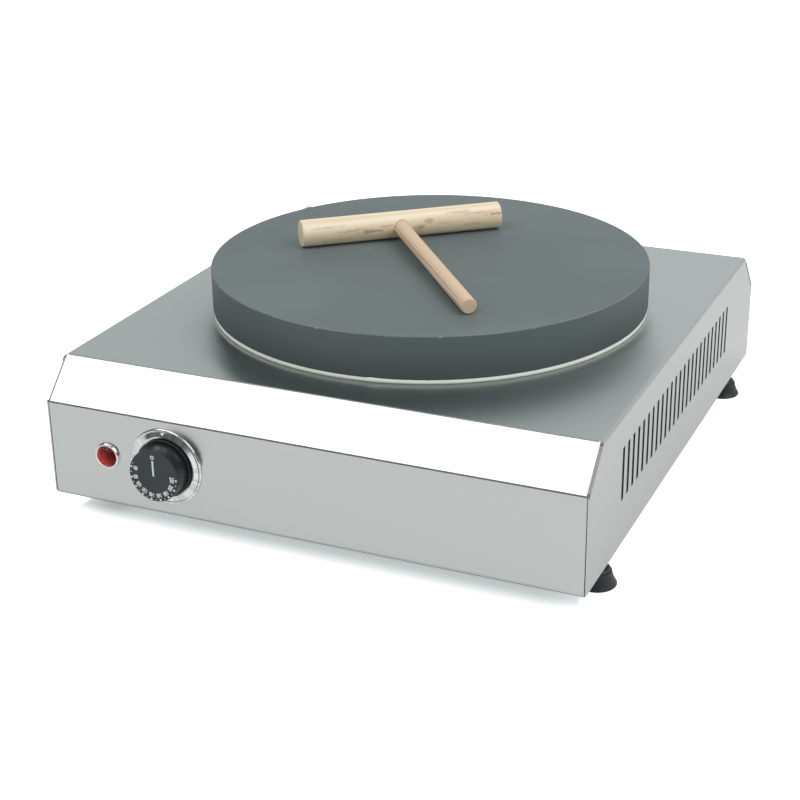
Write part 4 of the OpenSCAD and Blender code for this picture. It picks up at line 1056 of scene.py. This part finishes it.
def makeFloor():
    bpy.ops.object.select_all(action="DESELECT")
    bpy.ops.mesh.primitive_plane_add(size=studio["floorSize"], location=(0, 0, 0))
    floor = bpy.context.object
    floor.name = "studio_floor"
    material, tree, shader, place = newMaterial(
        "studio_floor", {"Base Color": (*studio["floorColour"], 1), "Roughness": 0.9,
                         "Specular IOR Level": 0.0})
    direct, mirrored = seenByLens(tree)
    parts = splitVector(tree, place)
    level, tint = shadeFloor(tree, parts)
    ahead = calc(tree, "SUBTRACT", -steel["half"][1], parts["Y"])
    dark = times(tree, mirrored, remap(tree, ahead, *studio["poolEdge"]))
    shine = times(tree, calc(tree, "SUBTRACT", mirrored, dark), studio["floorMirror"])
    glow = calc(tree, "ADD", times(tree, direct, level), shine)
    colour = blendColours(tree, dark, studio["floorColour"], studio["beyondPool"])
    for socket, value in (("Emission Strength", glow), ("Emission Color", tint), ("Base Color", colour)):
        tree.links.new(value, shader.inputs[socket])
    floor.data.materials.append(material)


def makeWorld():
    world = bpy.data.worlds.new("studio_world")
    world.use_nodes = True
    bpy.context.scene.world = world
    tree = world.node_tree
    background = tree.nodes["Background"]
    direct, mirrored = seenByLens(tree)
    way = splitVector(tree, tree.nodes.new("ShaderNodeTexCoord").outputs["Generated"])
    horizon, overhead = studio["ambient"]
    soft = times(tree, calc(tree, "MAXIMUM", way["Z"], 0.0), overhead - horizon)
    soft = calc(tree, "ADD", soft, horizon)
    room = studio["mirrored"]
    level = remap(tree, way["Y"], *studio["turnToBack"], room["front"], room["back"])
    seenSky = mixValues(tree, remap(tree, way["Z"], *studio["turnAbove"]), level, room["above"])
    plain = mixValues(tree, mirrored, soft, seenSky)
    background.inputs["Color"].default_value = (1, 1, 1, 1)
    tree.links.new(mixValues(tree, direct, plain, 1.0), background.inputs["Strength"])


def addLamp(name, plan):
    data = bpy.data.lights.new(name, "AREA")
    data.shape = "RECTANGLE"
    data.size, data.size_y = plan["size"]
    data.energy = plan["power"]
    lamp = bpy.data.objects.new(name, data)
    lamp.location = plan["place"]
    if plan["aim"]:  # a panel without an aim hangs level and shines straight down
        aim = Vector(plan["aim"]) - lamp.location
        lamp.rotation_euler = aim.to_track_quat("-Z", "Y").to_euler()
    bpy.context.scene.collection.objects.link(lamp)


makeFloor()
makeWorld()
for lampName, lampPlan in studio["lamps"].items():
    addLamp(lampName, lampPlan)
bpy.context.scene.view_settings.view_transform = "Standard"
print("studio ready")
